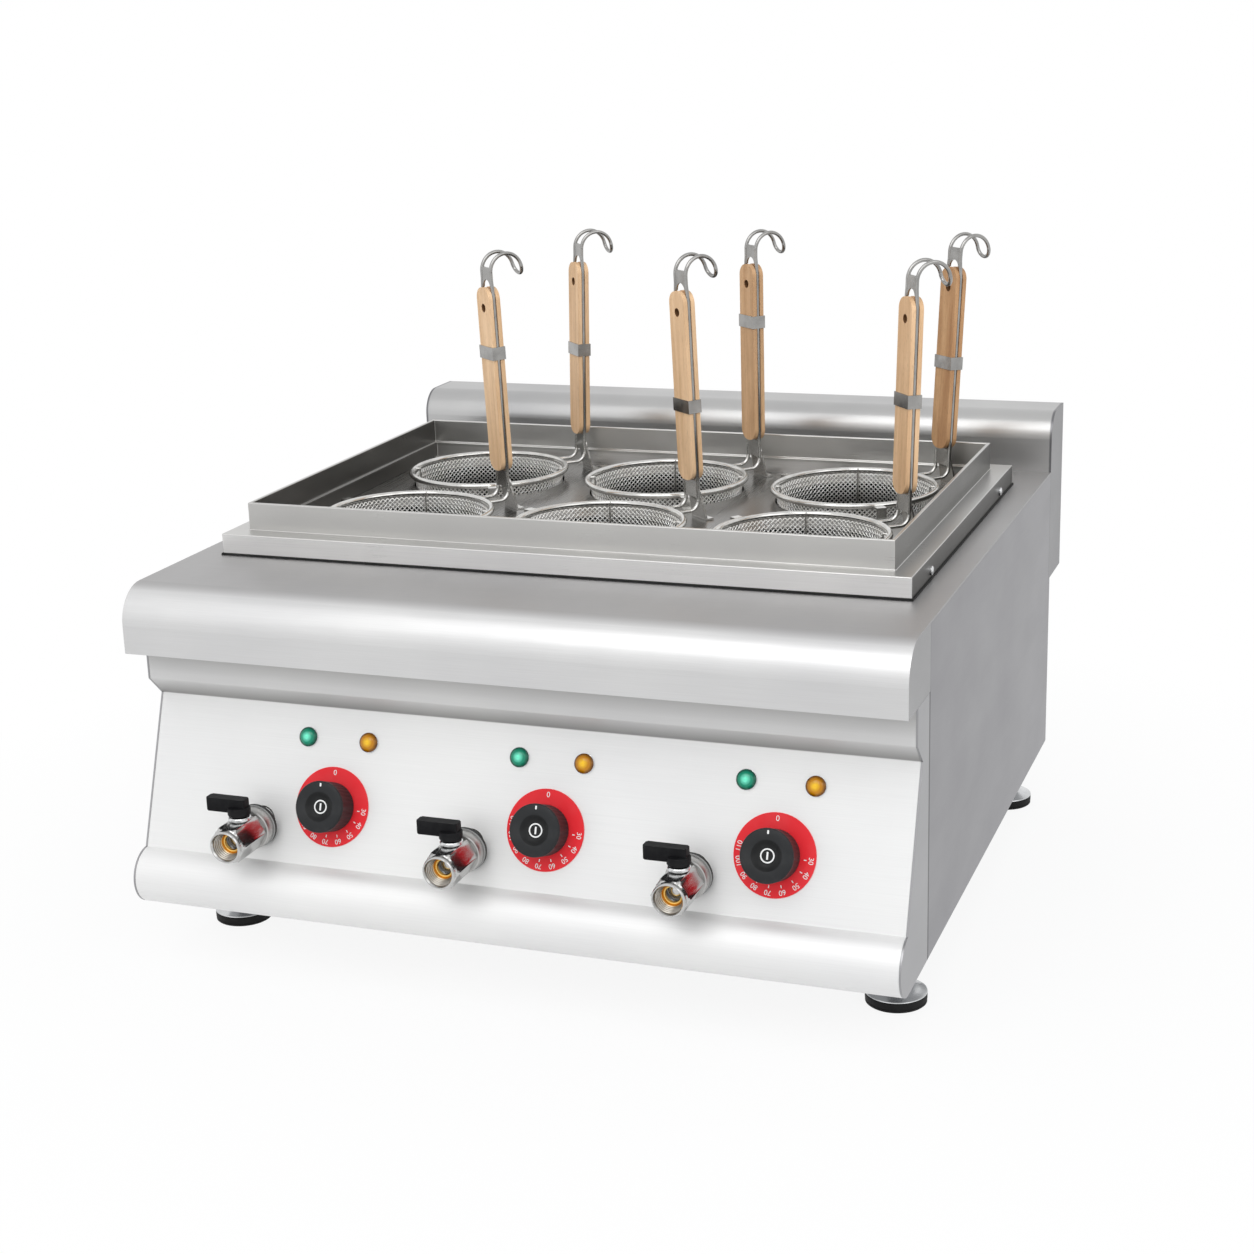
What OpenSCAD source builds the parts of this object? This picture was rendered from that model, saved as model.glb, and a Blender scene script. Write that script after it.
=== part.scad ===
// Countertop pasta cooker with three heated wells and six lift-out noodle baskets.
// X runs to the right, the controls face -Y, Z is up and Z = 0 is the counter.

/* [Body] */
// Width of the body over the side panels
body_w = 600; // [590:5:700]
// Depth from the worktop's nose to the back of the splashback
body_d = 600; // [580:5:680]
// Height from the base to the worktop
body_h = 250; // [240:2:300]
// Thickness of the sheet steel
sheet_t = 1.5; // [1:0.1:2]
// Distance from the nose back to the seam between cheek and side panel
seam_back = 65; // [55:1:80]

/* [Worktop and splashback] */
// Radius of the worktop's bullnose
nose_r = 28; // [15:1:40]
// Height of the worktop's front edge
nose_h = 50; // [44:1:56]
// Overhang of the nose past the riser under it
nose_over = 28; // [20:1:36]
// Depth of the splashback box
splash_d = 58; // [45:1:70]
// Height of the splashback above the worktop
splash_h = 51; // [40:1:90]
// Reach of the splashback box below the worktop
splash_drop = 97; // [80:1:110]
// Radius of the splashback's top front edge
splash_r = 22; // [10:1:30]

/* [Control panel] */
// Height of the riser under the nose
riser_h = 28; // [20:1:34]
// Depth and height of the cove between riser and panel
cove = 16; // [10:1:20]
// Lean of the control panel from upright, in degrees
panel_lean = 20.5; // [12:0.5:24]
// Radius of the half-round lip along the bottom edge
lip_r = 22; // [18:1:24]
// Distance between the control columns
control_pitch = 172.5; // [165:0.5:180]
// Offset of dial and valve to either side of a column
control_split = 29; // [26:0.5:32]
// Distance down a panel of standard length to the lamps
lamp_down = 23.5; // [20:0.5:30]
// Distance down a panel of standard length to the dials
dial_down = 74; // [70:0.5:80]
// Distance down a panel of standard length to the drain valves
valve_down = 90.5; // [88:0.5:96]
// Spacing of the two lamps above a dial
lamp_gap = 50.4; // [44:0.2:56]

/* [Lamps and knobs] */
// Diameter of a lamp lens
lens_d = 13; // [10:0.5:16]
// Width of the bezel round a lamp lens
bezel_w = 1.2; // [1:0.1:3]
// Diameter of a lamp's barrel behind the panel
barrel_d = 12; // [8:0.5:13]
// Diameter of a dial plate
dial_d = 60; // [50:1:66]
// Diameter of a knob's face
knob_d = 39; // [34:1:44]
// Diameter of a knob at the dial plate
knob_base_d = 37; // [32:1:44]
// Height of a knob over the dial plate
knob_h = 21.5; // [16:0.5:26]
// Diameter of a thermostat's spindle
spindle_d = 6; // [5:0.5:8]

/* [Drain valves] */
// Distance that a valve's mouth stands out past the nose
mouth_reach = 44; // [36:1:54]
// Outer diameter of the mouth
mouth_d = 25; // [23:0.5:27]
// Diameter of the thread's bore in the mouth
mouth_bore_d = 18.6; // [17:0.1:20]
// Depth of the mouth's bore
mouth_depth = 12; // [9:0.5:13]
// Width across the flats of the valve body
valve_af = 25.5; // [25:0.5:30]
// Diameter of the ball
ball_d = 20; // [18:0.5:21]
// Diameter of the way through the ball
ball_bore_d = 13; // [9:0.5:14]
// Distance from the mouth back to the lever's stem
stem_back = 25; // [24.5:0.5:28]
// Diameter of the lever's stem
stem_d = 7; // [5:0.5:8]
// Length of the lever from its stem
lever_l = 25; // [20:0.5:45]
// Height of the lever
lever_h = 10.5; // [6:0.5:12]
// Outer diameter of the drain pipe
pipe_d = 21.3; // [20:0.1:23]
// Bore of the drain pipe
pipe_bore_d = 16; // [12:0.5:17]

/* [Wells and collar] */
// Distance between the wells, and between the basket columns
well_pitch = 165; // [164:0.5:168]
// Outer width of a well
well_w = 160; // [150:1:162]
// Outer length of a well, front to back
well_l = 314; // [306:1:320]
// Depth of a well below its flange, in a body of standard height
well_depth = 168; // [158:1:175]
// Thickness of a well's wall
well_t = 1.2; // [0.8:0.1:1.6]
// Height of the collar's lower step
step_h = 17; // [12:1:24]
// Width of the collar's lower step
step_w = 16; // [10:1:20]
// Height of the collar's upper wall
wall_h = 22; // [15:1:35]
// Width of the ledge inside the collar
ledge_w = 4; // [2:0.5:6]
// Diameter of a collar screw's head
screw_d = 7; // [5:0.5:8]

/* [Baskets] */
// Distance from the middle of the wells to each basket row
basket_row = 82; // [80:0.5:84]
// Outer diameter of a basket's ring
ring_d = 140; // [136:1:142]
// Diameter of the ring's wire
ring_wire = 5; // [4:0.25:6]
// Height of the ring above the rack plate
ring_lift = 10; // [8:1:18]
// Depth of the cup below the ring
cup_depth = 140; // [110:1:142]
// Diameter of the cup at its bottom
cup_base_d = 120; // [100:1:126]
// Thickness of the woven wire cup
cup_t = 1.2; // [0.8:0.1:1.6]
// Diameter of the rib wires
rib_wire = 1.6; // [1.2:0.1:2]
// Direction of a handle from the ring's middle, in degrees
handle_turn = 47; // [40:1:60]
// Distance from the ring's outer edge to the handle's middle
handle_out = 17; // [11:0.5:18]
// Diameter of the handle's wire
handle_wire = 3; // [2.5:0.25:3.5]
// Width of the wooden grip
grip_w = 22; // [20:0.5:26]
// Thickness of each wooden slab
slab_t = 3.5; // [3:0.25:6]
// Length of the wooden grip
grip_l = 151; // [120:1:170]
// Height of the grip's lower end above the ring
grip_lift = 23.5; // [16:0.5:26]
// Diameter of the hole through the grip
grip_hole_d = 7; // [5:0.5:9]
// Height of the steel band round the grip
band_h = 10.5; // [8:0.5:20]
// Radius of the hook's bend
hook_r = 14; // [12:0.5:18]

/* [Feet] */
// Height of a foot from the counter to the base
foot_h = 48; // [42:1:56]
// Diameter of a foot's disc
foot_d = 46; // [36:1:50]
// Thickness of the rubber sole
sole_t = 6; // [4:0.5:8]
// Diameter of the foot's threaded stem
foot_stem_d = 10; // [8:0.5:12]
// Distance of the feet in from the body's sides
foot_inset_x = 29; // [26:1:40]
// Distance of the front feet behind the nose
foot_front = 90; // [80:1:100]
// Distance of the rear feet in front of the splashback's back
foot_rear = 90; // [85:1:110]

/* [Hidden] */
$fn = 64;
SIDES = ["left", "middle", "right"];
ROWS = ["front", "rear"];
CORNERS = ["front_left", "front_right", "rear_left", "rear_right"];
BASKETS = [for (row = ROWS) for (side = SIDES) str(row, "_", side)];

// For each basket, front row first: the handle's turn from the common direction and its lean outwards in
// degrees, and the place of the band from the grip's top
HANDLE_TWISTS = [3, 3, -7, -4, 1, 0];
HANDLE_LEANS = [-2, -2, 2, 1.5, 0, 3.5];
BAND_SHARES = [0.35, 0.6, 0.52, 0.5, 0.32, 0.52];

// Clearances
run_gap = 0.05;
slide_gap = 0.3;
rest_gap = 0.2;
hole_gap = 0.5;
spindle_gap = 1;
cutout_gap = 2;
over = 1;
drill_l = 60;

// Body height and panel length that the distances on the panel and the wells' depth are given for
standard_h = 250;
standard_l = 120;

// Main planes, with the part centred on its overall depth
y_rear = (body_d + mouth_reach) / 2;
y_nose = y_rear - body_d;
y_mid = y_nose + body_d / 2;
y_seam = y_nose + seam_back;
y_splash = y_rear - splash_d;
z_base = foot_h;
z_deck = z_base + body_h;
half_w = body_w / 2;
inner_w = half_w - sheet_t;

// Front profile
z_nose = z_deck - nose_h;
y_riser = y_nose + nose_over;
nose_lap = 8;
z_riser = z_nose - riser_h;
y_panel = y_riser + cove;
z_panel = z_riser - cove;
lip_lap = 1.5;
z_lip = z_base + lip_r;
z_panel_low = z_base + 2 * lip_r - lip_lap / 3;
y_panel_low = y_panel - (z_panel - z_panel_low) * tan(panel_lean);
y_lip = y_panel_low + lip_lap;
lip_return = 40;
panel_share = (z_panel - z_panel_low) / cos(panel_lean) / standard_l;
lamp_at = lamp_down * panel_share;
dial_at = dial_down * panel_share;
valve_at = valve_down * panel_share;

// Rear and splashback
splash_low = z_deck - splash_drop;
splash_top = z_deck + splash_h;
rear_lap = 30;
y_rear_panel = y_splash + sheet_t;
side_flange = 6;
gland_d = 26;
gland_thread_d = 20;
gland_bore_d = 11;
gland_up = 36;

// Collar and rack
wall_margin_x = 12.5;
wall_margin_y = 15;
wall_x = 1.5 * well_pitch + wall_margin_x;
wall_y = well_l / 2 + wall_margin_y;
z_step = z_deck + step_h;
ledge_lift = 2;
z_ledge = z_step + ledge_lift;
z_rim = z_step + wall_h;
rack_proud = 5.5;
rack_t = 1.5;
z_rack = z_deck + rack_proud;
z_flange = z_rack - rack_t;
z_collar_low = z_flange - well_t - sheet_t;
skirt_x = wall_x - ledge_w;
skirt_y = wall_y - ledge_w;
return_w = 8;
rack_x = skirt_x - sheet_t - slide_gap;
rack_y = skirt_y - sheet_t - slide_gap;
screw_spread = 130;
screw_low = 10;

// Wells and what hangs on them
z_well = z_flange - well_depth * body_h / standard_h;
y_well = y_mid - well_l / 2;
well_join = 0.1;
heater_d = 8;
heater_up = 14;
heater_split = 60;
heater_end = 18;
heater_clear = 40;
heater_nut = 6;
bulb_d = 6;
bulb_up = 27;
bulb_l = 70;
bulb_end = 8;
bulb_nut = 5;
capillary_d = 2.4;

// Valves
y_mouth = y_nose - mouth_reach;
z_valve = z_panel - valve_at * cos(panel_lean);
y_valve_panel = y_panel - valve_at * sin(panel_lean);
mouth_chamfer = 1.5;
mouth_rim = 3;
hex_back = 2 * stem_back - mouth_depth;
grommet_d = 33;
grommet_t = 3;
grommet_back = y_valve_panel - y_mouth - grommet_d / 2 * tan(panel_lean) - rest_gap;
sleeve_d = 31;
sleeve_back = grommet_back - grommet_t - rest_gap;
tail_d = 21;
tail_in = 20;
tail_back = y_valve_panel - y_mouth + tail_in;
boss_d = 13;
boss_proud = 0.5;
boss_h = valve_af / 2 + boss_proud;
z_lever = z_valve + boss_h + slide_gap;
hub_d = 17.5;
hub_h = 10;
lever_w = 9;
lever_tail = 6.8;
lever_lift = 6;
drain_in = 22;

// Knobs and lamps
dial_t = 1;
knob_rise = 0.3;
dish_d = 20;
dish_deep = 1.5;
thermostat_w = 40;
thermostat_t = 28;
barrel_l = 22;
lens_seat = 0.5;
lens_h = 4.5;
lens_dome = 0.75;

// Baskets
ring_r = (ring_d - ring_wire) / 2;
z_ring = z_rack + ring_lift;
cup_top_r = ring_r - ring_wire / 2 - rest_gap;
cup_base_r = cup_base_d / 2;
rack_hole_r = cup_top_r + 1;
handle_r = ring_d / 2 + handle_out;
rod_gap = grip_w - handle_wire;
rod_bend = 8;
grip_corner = 9.5;
hole_down = 16.5;
web_t = 1.5;
neck_h = 12;
neck_gap = 15.5;
neck_in = 8;
web_h = 16;
web_arch = 6;
hook_sweep = 166;
leg_w = 22;
leg_round = 9;
leg_neck = 17.6;
leg_spread = 6;
leg_low = 2;
foot_flange = 7;
tab_turn = 107;
tab_w = 8;
tab_out = 12;
band_t = 0.8;
rib_turns = [12, 102, 192, 282];
cup_h = cup_depth - rib_wire / 2;
low_web_h = 14;
wire_lap = 0.3;
hook_lap = 1;
bend_swell = 0.04;

// Feet
neck_d = 20;
disc_t = 6;
disc_top_d = 28;
stem_in = 26;
nut_d = 20;
nut_h = 20;
foot_x = half_w - foot_inset_x;

// Straight round bar from one point to another
module bar(p, q, d) {
    v = q - p;
    length = norm(v);
    translate(p) rotate([0, acos(v[2] / length), atan2(v[1], v[0])]) cylinder(h = length, d = d);
}

// Round bar along a list of points, with ball corners
module run(points, d) {
    for (i = [0 : len(points) - 2]) bar(points[i], points[i + 1], d);
    for (i = [1 : len(points) - 2]) translate(points[i]) sphere(d = d);
}

// Section in Y and Z drawn out along X, from x0 for a given length
module along_x(x0, length) {
    translate([x0, 0, 0]) rotate([90, 0, 90]) linear_extrude(length) children();
}

// Box given by its low and high corners
module block(low, high) {
    translate(low) cube(high - low);
}

// Rectangular ring round the middle of the wells
module frame_ring(x, y, width, z, h) {
    translate([0, y_mid, z]) difference() {
        translate([-x, -y, 0]) cube([2 * x, 2 * y, h]);
        translate([width - x, width - y, -over]) cube([2 * (x - width), 2 * (y - width), h + 2 * over]);
    }
}

// Place on the control panel: X to the right, Y up the slope, Z out of the panel
module on_panel(x, down) {
    translate([x, y_panel - down * sin(panel_lean), z_panel - down * cos(panel_lean)])
        rotate([90 - panel_lean, 0, 0]) children();
}

function column_x(i) = (i - 1) * control_pitch;
function dial_x(i) = column_x(i) + control_split;
function valve_x(i) = column_x(i) - control_split;
function well_x(i) = (i - 1) * well_pitch;
function basket_x(n) = well_x(n % 3);
function basket_y(n) = y_mid + (n < 3 ? -basket_row : basket_row);
function handle_dir(n) = handle_turn + HANDLE_TWISTS[n];
function foot_y(n) = n < 2 ? y_nose + foot_front : y_rear - foot_rear;

// Nose of the worktop in section, drawn in by an amount
module nose_section(inset) {
    intersection() {
        translate([y_nose + nose_r, z_deck - nose_r]) circle(nose_r - inset);
        translate([y_nose, z_deck - nose_r]) square(nose_r);
    }
    translate([y_nose + nose_r, z_nose + inset])
        square([y_splash - y_nose - nose_r, nose_h - 2 * inset]);
    translate([y_nose + inset, z_nose + inset]) square([nose_r, nose_h - nose_r - inset]);
}

// Front of the body below the nose, in section
module front_section() {
    polygon([[y_riser, z_nose], [y_riser, z_riser], [y_panel, z_panel], [y_panel_low, z_panel_low],
             [y_panel_low, z_lip], [y_seam, z_lip], [y_seam, z_nose]]);
    translate([y_lip, z_base]) square([y_seam - y_lip, lip_r + over]);
    translate([y_lip, z_lip]) circle(lip_r);
}

module worktop() {
    color("silver") difference() {
        union() {
            along_x(-half_w, body_w) difference() {
                nose_section(0);
                nose_section(sheet_t);
                translate([y_riser + nose_lap, z_nose - over]) square([body_d, nose_h - sheet_t + over]);
            }
            for (x = [-half_w, half_w - sheet_t]) along_x(x, sheet_t) intersection() {
                nose_section(0);
                translate([y_nose, z_nose]) square([seam_back, nose_h]);
            }
        }
        translate([0, y_mid, z_deck])
            cube([2 * (skirt_x + cutout_gap), 2 * (skirt_y + cutout_gap), 4 * sheet_t], center = true);
    }
}

// Side panel as a flat sheet, notched for the splashback
module side_panel(x) {
    color("lightgray") along_x(x, sheet_t) polygon([
        [y_seam, z_base], [y_splash + side_flange, z_base], [y_splash + side_flange, splash_low],
        [y_splash, splash_low], [y_splash, z_deck - sheet_t], [y_seam, z_deck - sheet_t]]);
}

module left_side_panel() { side_panel(-half_w); }

module right_side_panel() { side_panel(inner_w); }

module left_cheek() {
    color("lightgray") along_x(-half_w, sheet_t) front_section();
}

module right_cheek() {
    color("lightgray") along_x(inner_w, sheet_t) front_section();
}

module control_panel() {
    color("gainsboro") difference() {
        along_x(-inner_w, 2 * inner_w) {
            polygon([[y_riser, z_nose], [y_riser, z_riser], [y_panel, z_panel], [y_panel_low, z_panel_low],
                     [y_panel_low + sheet_t, z_panel_low], [y_panel + sheet_t, z_panel],
                     [y_riser + sheet_t, z_riser], [y_riser + sheet_t, z_nose]]);
            difference() {
                translate([y_lip, z_lip]) circle(lip_r);
                translate([y_lip, z_lip]) circle(lip_r - sheet_t);
                translate([y_lip, z_base - over]) square([lip_r + over, 2 * lip_r + 2 * over]);
            }
            translate([y_lip, z_base]) square([lip_return, sheet_t]);
        }
        for (i = [0 : 2]) {
            on_panel(dial_x(i), dial_at)
                cylinder(h = thermostat_t, d = spindle_d + 2 * spindle_gap, center = true);
            for (side = [-1, 1])
                on_panel(dial_x(i) + side * lamp_gap / 2, lamp_at)
                    cylinder(h = barrel_l, d = barrel_d + 2 * run_gap, center = true);
            on_valve(i) cylinder(h = tail_back, d = tail_d + 2 * hole_gap);
        }
    }
}

module base_pan() {
    color("darkgray") difference() {
        union() {
            block([-inner_w, y_lip + lip_return, z_base], [inner_w, y_rear_panel, z_base + sheet_t]);
            for (n = [0 : 3]) at_foot(n) translate([0, 0, z_base]) cylinder(h = nut_h, d = nut_d, $fn = 6);
        }
        for (n = [0 : 3]) at_foot(n) cylinder(h = z_base + 2 * nut_h, d = foot_stem_d + 2 * run_gap);
    }
}

module rear_panel() {
    slots = 9;
    slot_pitch = 30;
    slot = [18, 3];
    slot_rows = [60, 75, 90];
    color("darkgray") difference() {
        block([-inner_w, y_rear_panel, z_base], [inner_w, y_rear_panel + sheet_t, splash_low + rear_lap]);
        for (n = [0 : slots - 1]) for (up = slot_rows)
            translate([(n - (slots - 1) / 2) * slot_pitch, y_rear_panel, z_base + up])
                cube([slot[0], 4 * sheet_t, slot[1]], center = true);
        at_gland() cylinder(h = drill_l, d = gland_thread_d + 2 * run_gap, center = true);
    }
}

// Splashback in section, drawn in by an amount and open below
module splash_section(inset) {
    translate([y_splash + splash_r, splash_top - splash_r]) circle(splash_r - inset);
    translate([y_splash + inset, splash_low])
        square([splash_d - 2 * inset, splash_top - splash_r - splash_low]);
    translate([y_splash + splash_r, splash_low])
        square([splash_d - splash_r - inset, splash_top - inset - splash_low]);
}

module splashback() {
    color("silver") difference() {
        along_x(-half_w, body_w) splash_section(0);
        along_x(-inner_w, 2 * inner_w) {
            splash_section(sheet_t);
            translate([y_splash + sheet_t, splash_low - over]) square([splash_d - 2 * sheet_t, 2 * over]);
        }
    }
}

module tank_collar() {
    color("silver") {
        frame_ring(wall_x + step_w, wall_y + step_w, sheet_t, z_deck, step_h);
        frame_ring(wall_x + step_w, wall_y + step_w, step_w + sheet_t, z_step - sheet_t, sheet_t);
        frame_ring(wall_x, wall_y, 2 * sheet_t, z_step - sheet_t, wall_h + sheet_t);
        frame_ring(wall_x, wall_y, ledge_w + sheet_t, z_ledge - sheet_t, sheet_t);
        frame_ring(skirt_x, skirt_y, sheet_t, z_collar_low, z_ledge - z_collar_low);
        frame_ring(skirt_x, skirt_y, sheet_t + return_w, z_collar_low, sheet_t);
    }
}

module collar_screws() {
    head_t = 2.5;
    color("gainsboro") for (side = [-1, 1]) for (along = [-screw_spread, screw_spread])
        translate([side * (wall_x + step_w), y_mid + along, z_step - screw_low]) rotate([0, side * 90, 0])
            intersection() {
                cylinder(h = head_t, d = screw_d);
                translate([0, 0, head_t - screw_d]) sphere(r = screw_d);
            }
}

module rack_plate() {
    color("darkgray") difference() {
        translate([-rack_x, y_mid - rack_y, z_flange]) cube([2 * rack_x, 2 * rack_y, rack_t]);
        for (n = [0 : 5]) translate([basket_x(n), basket_y(n), z_flange - over])
            cylinder(h = rack_t + 2 * over, r = rack_hole_r);
    }
}

// One well: an open box that hangs by its flange
module well(i) {
    half = well_w / 2;
    to_left = i == 0 ? rack_x - well_pitch : well_pitch / 2 - well_join;
    to_right = i == 2 ? rack_x - well_pitch : well_pitch / 2 - well_join;
    color("lightgray") translate([well_x(i), 0, 0]) difference() {
        union() {
            block([-half, y_well, z_well], [half, y_well + well_l, z_flange]);
            block([-to_left, y_mid - rack_y, z_flange - well_t], [to_right, y_mid + rack_y, z_flange]);
        }
        block([well_t - half, y_well + well_t, z_well + well_t],
              [half - well_t, y_well + well_l - well_t, z_flange + over]);
        for (leg = [-1, 1]) translate([leg * heater_split / 2, y_well, z_well + heater_up]) rotate([90, 0, 0])
            cylinder(h = 6 * well_t, d = heater_d + 2 * run_gap, center = true);
        translate([dial_x(i) - well_x(i), y_well, z_well + bulb_up]) rotate([90, 0, 0])
            cylinder(h = 6 * well_t, d = bulb_d + 2 * run_gap, center = true);
        translate([valve_x(i) - well_x(i), y_well + drain_in, z_well])
            cylinder(h = 6 * well_t, d = pipe_bore_d, center = true);
    }
}

// Hairpin heating elements, one per well
module heaters() {
    back = y_well + well_l - heater_clear;
    color("dimgray") for (i = [0 : 2]) translate([well_x(i), 0, z_well + heater_up]) {
        for (leg = [-1, 1]) translate([leg * heater_split / 2, 0, 0]) {
            bar([0, y_well - heater_end, 0], [0, back, 0], heater_d);
            translate([0, y_well - heater_nut, 0]) rotate([-90, 0, 0])
                cylinder(h = heater_nut, d = 2 * heater_d, $fn = 6);
        }
        translate([0, back, 0]) rotate_extrude(angle = 180)
            translate([heater_split / 2, 0]) circle(d = heater_d);
    }
}

// Thermostat cases behind the control panel
module thermostats() {
    color("whitesmoke") for (i = [0 : 2]) on_panel(dial_x(i), dial_at)
        translate([0, 0, -sheet_t * cos(panel_lean) - thermostat_t]) difference() {
            translate([-thermostat_w / 2, -thermostat_w / 2, 0])
                cube([thermostat_w, thermostat_w, thermostat_t]);
            translate([0, 0, thermostat_t / 2]) cylinder(h = thermostat_t, d = spindle_d + 2 * run_gap);
        }
}

// Sensing bulbs in the wells, with their capillaries to the thermostats
module sensor_bulbs() {
    back = thermostat_t + sheet_t * cos(panel_lean);
    y_case = y_panel - dial_at * sin(panel_lean) + back * cos(panel_lean);
    z_case = z_panel - dial_at * cos(panel_lean) - back * sin(panel_lean);
    y_rise = (y_case + y_well) / 2;
    z_bulb = z_well + bulb_up;
    color("goldenrod") for (i = [0 : 2]) translate([dial_x(i), 0, 0]) {
        run([[0, y_case + slide_gap, z_case], [0, y_rise, z_case], [0, y_rise, z_bulb], [0, y_well, z_bulb]],
            capillary_d);
        bar([0, y_well - bulb_end, z_bulb], [0, y_well + bulb_l, z_bulb], bulb_d);
        translate([0, y_well - bulb_nut, z_bulb]) rotate([-90, 0, 0])
            cylinder(h = bulb_nut, d = 2 * bulb_d, $fn = 6);
    }
}

module dial_plates() {
    color("crimson") for (i = [0 : 2]) on_panel(dial_x(i), dial_at) difference() {
        cylinder(h = dial_t, d = dial_d);
        translate([0, 0, -over]) cylinder(h = dial_t + 2 * over, d = spindle_d + 2 * spindle_gap);
    }
}

// Domed lens of a lamp, proud of its bezel
module lens(x) {
    dome_r = lens_d * lens_dome;
    on_panel(x, lamp_at) intersection() {
        translate([0, 0, lens_seat]) cylinder(h = lens_d, d = lens_d);
        translate([0, 0, lens_h - dome_r]) sphere(r = dome_r);
    }
}

module green_lenses() {
    color("seagreen") for (i = [0 : 2]) lens(dial_x(i) - lamp_gap / 2);
}

module amber_lenses() {
    color("orange") for (i = [0 : 2]) lens(dial_x(i) + lamp_gap / 2);
}

// Bezel rings on the panel and lamp barrels behind it
module lamp_holders() {
    color("dimgray") for (i = [0 : 2]) for (side = [-1, 1])
        on_panel(dial_x(i) + side * lamp_gap / 2, lamp_at) {
            difference() {
                cylinder(h = bezel_w, d = lens_d + 2 * bezel_w);
                translate([0, 0, lens_seat]) cylinder(h = bezel_w, d = lens_d + 2 * run_gap);
            }
            translate([0, 0, -barrel_l]) cylinder(h = barrel_l, d = barrel_d);
        }
}

// Knob with its spindle, drawn out of the panel
module knob(i) {
    color("darkslategray") on_panel(dial_x(i), dial_at) {
        difference() {
            translate([0, 0, dial_t + knob_rise]) cylinder(h = knob_h, d1 = knob_base_d, d2 = knob_d);
            translate([0, 0, dial_t + knob_rise + knob_h - dish_deep])
                cylinder(h = dish_deep + over, d = dish_d);
        }
        translate([0, 0, -thermostat_t / 2]) cylinder(h = thermostat_t / 2 + dial_t + over, d = spindle_d);
    }
}

// Place on a valve's axis: Z runs from the mouth back into the body
module on_valve(i) {
    translate([valve_x(i), y_mouth, z_valve]) rotate([-90, 0, 0]) children();
}

module valve_body(i) {
    color("silver") difference() {
        union() {
            on_valve(i) {
                cylinder(h = mouth_chamfer, d1 = mouth_d - 2 * mouth_chamfer, d2 = mouth_d);
                translate([0, 0, mouth_chamfer]) cylinder(h = mouth_rim - mouth_chamfer, d = mouth_d);
                translate([0, 0, mouth_rim])
                    cylinder(h = hex_back - mouth_rim, d = valve_af / cos(30), $fn = 6);
                translate([0, 0, hex_back]) cylinder(h = sleeve_back - hex_back, d = sleeve_d);
                translate([0, 0, hex_back]) cylinder(h = tail_back - hex_back, d = tail_d);
            }
            translate([valve_x(i), y_mouth + stem_back, z_valve]) cylinder(h = boss_h, d = boss_d);
        }
        on_valve(i) {
            translate([0, 0, -over]) cylinder(h = mouth_depth + over, d = mouth_bore_d);
            cylinder(h = tail_back + over, d = ball_bore_d);
            translate([0, 0, stem_back]) sphere(d = ball_d + 2 * run_gap);
        }
        translate([valve_x(i), y_mouth + stem_back, z_valve])
            cylinder(h = boss_h + over, d = stem_d + 2 * run_gap);
    }
}

// Ball with its stem: shut at rest, with the way through it across the pipe
module valve_ball(i) {
    color("gold") translate([valve_x(i), y_mouth + stem_back, z_valve]) difference() {
        union() {
            sphere(d = ball_d);
            cylinder(h = z_lever - z_valve, d = stem_d);
        }
        rotate([0, 90, 0]) cylinder(h = 2 * ball_d, d = ball_bore_d, center = true);
    }
}

module valve_lever(i) {
    color("black") translate([valve_x(i), y_mouth + stem_back, z_lever]) {
        cylinder(h = hub_h, d = hub_d);
        translate([-lever_l, -lever_w / 2, lever_lift]) cube([lever_l + lever_tail, lever_w, lever_h]);
    }
}

// Elbow pipes from the wells' drain holes to the valves
module drain_pipes() {
    y_drop = y_well + drain_in;
    y_tail = y_mouth + tail_back;
    color("peru") for (i = [0 : 2]) translate([valve_x(i), 0, z_valve]) difference() {
        union() {
            translate([0, y_drop, 0]) cylinder(h = z_well - z_valve, d = pipe_d);
            bar([0, y_tail, 0], [0, y_drop, 0], pipe_d);
            translate([0, y_drop, 0]) sphere(d = pipe_d);
        }
        translate([0, y_drop, 0]) cylinder(h = z_well - z_valve + over, d = pipe_bore_d);
        bar([0, y_tail - over, 0], [0, y_drop, 0], pipe_bore_d);
        translate([0, y_drop, 0]) sphere(d = pipe_bore_d);
    }
}

// Rubber rings on the valves' tails, against the panel
module valve_grommets() {
    color("black") for (i = [0 : 2]) on_valve(i) translate([0, 0, grommet_back - grommet_t]) difference() {
        cylinder(h = grommet_t, d = grommet_d);
        translate([0, 0, -over]) cylinder(h = grommet_t + 2 * over, d = tail_d + 2 * run_gap);
    }
}

module terminal_block() {
    size = [70, 32, 26];
    set_in = 60;
    screws = 5;
    screw_hole_d = 6;
    x = -half_w / 2 - size[0] / 2;
    color("ivory") translate([x, y_rear_panel - set_in, z_base + sheet_t]) difference() {
        cube(size);
        for (n = [1 : screws]) translate([n * size[0] / (screws + 1), size[1] / 2, size[2] / 2])
            cylinder(h = size[2], d = screw_hole_d);
    }
}

// Place of the cable gland on the rear panel, with Z pointing out of the back
module at_gland() {
    translate([-half_w / 2, y_rear_panel + sheet_t, z_base + gland_up]) rotate([-90, 0, 0]) children();
}

module cable_gland() {
    nut = 7;
    dome = 14;
    color("dimgray") at_gland() difference() {
        union() {
            cylinder(h = nut, d = gland_d, $fn = 6);
            cylinder(h = nut + dome, d = gland_thread_d);
            translate([0, 0, -sheet_t - nut]) cylinder(h = nut + 2 * sheet_t, d = gland_thread_d);
            translate([0, 0, -sheet_t - nut]) cylinder(h = nut, d = gland_d, $fn = 6);
        }
        translate([0, 0, -nut - 2 * sheet_t]) cylinder(h = 2 * (nut + dome), d = gland_bore_d);
    }
}

// Place of a foot, on the counter below it
module at_foot(n) {
    translate([(n % 2 == 0 ? -1 : 1) * foot_x, foot_y(n), 0]) children();
}

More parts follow.
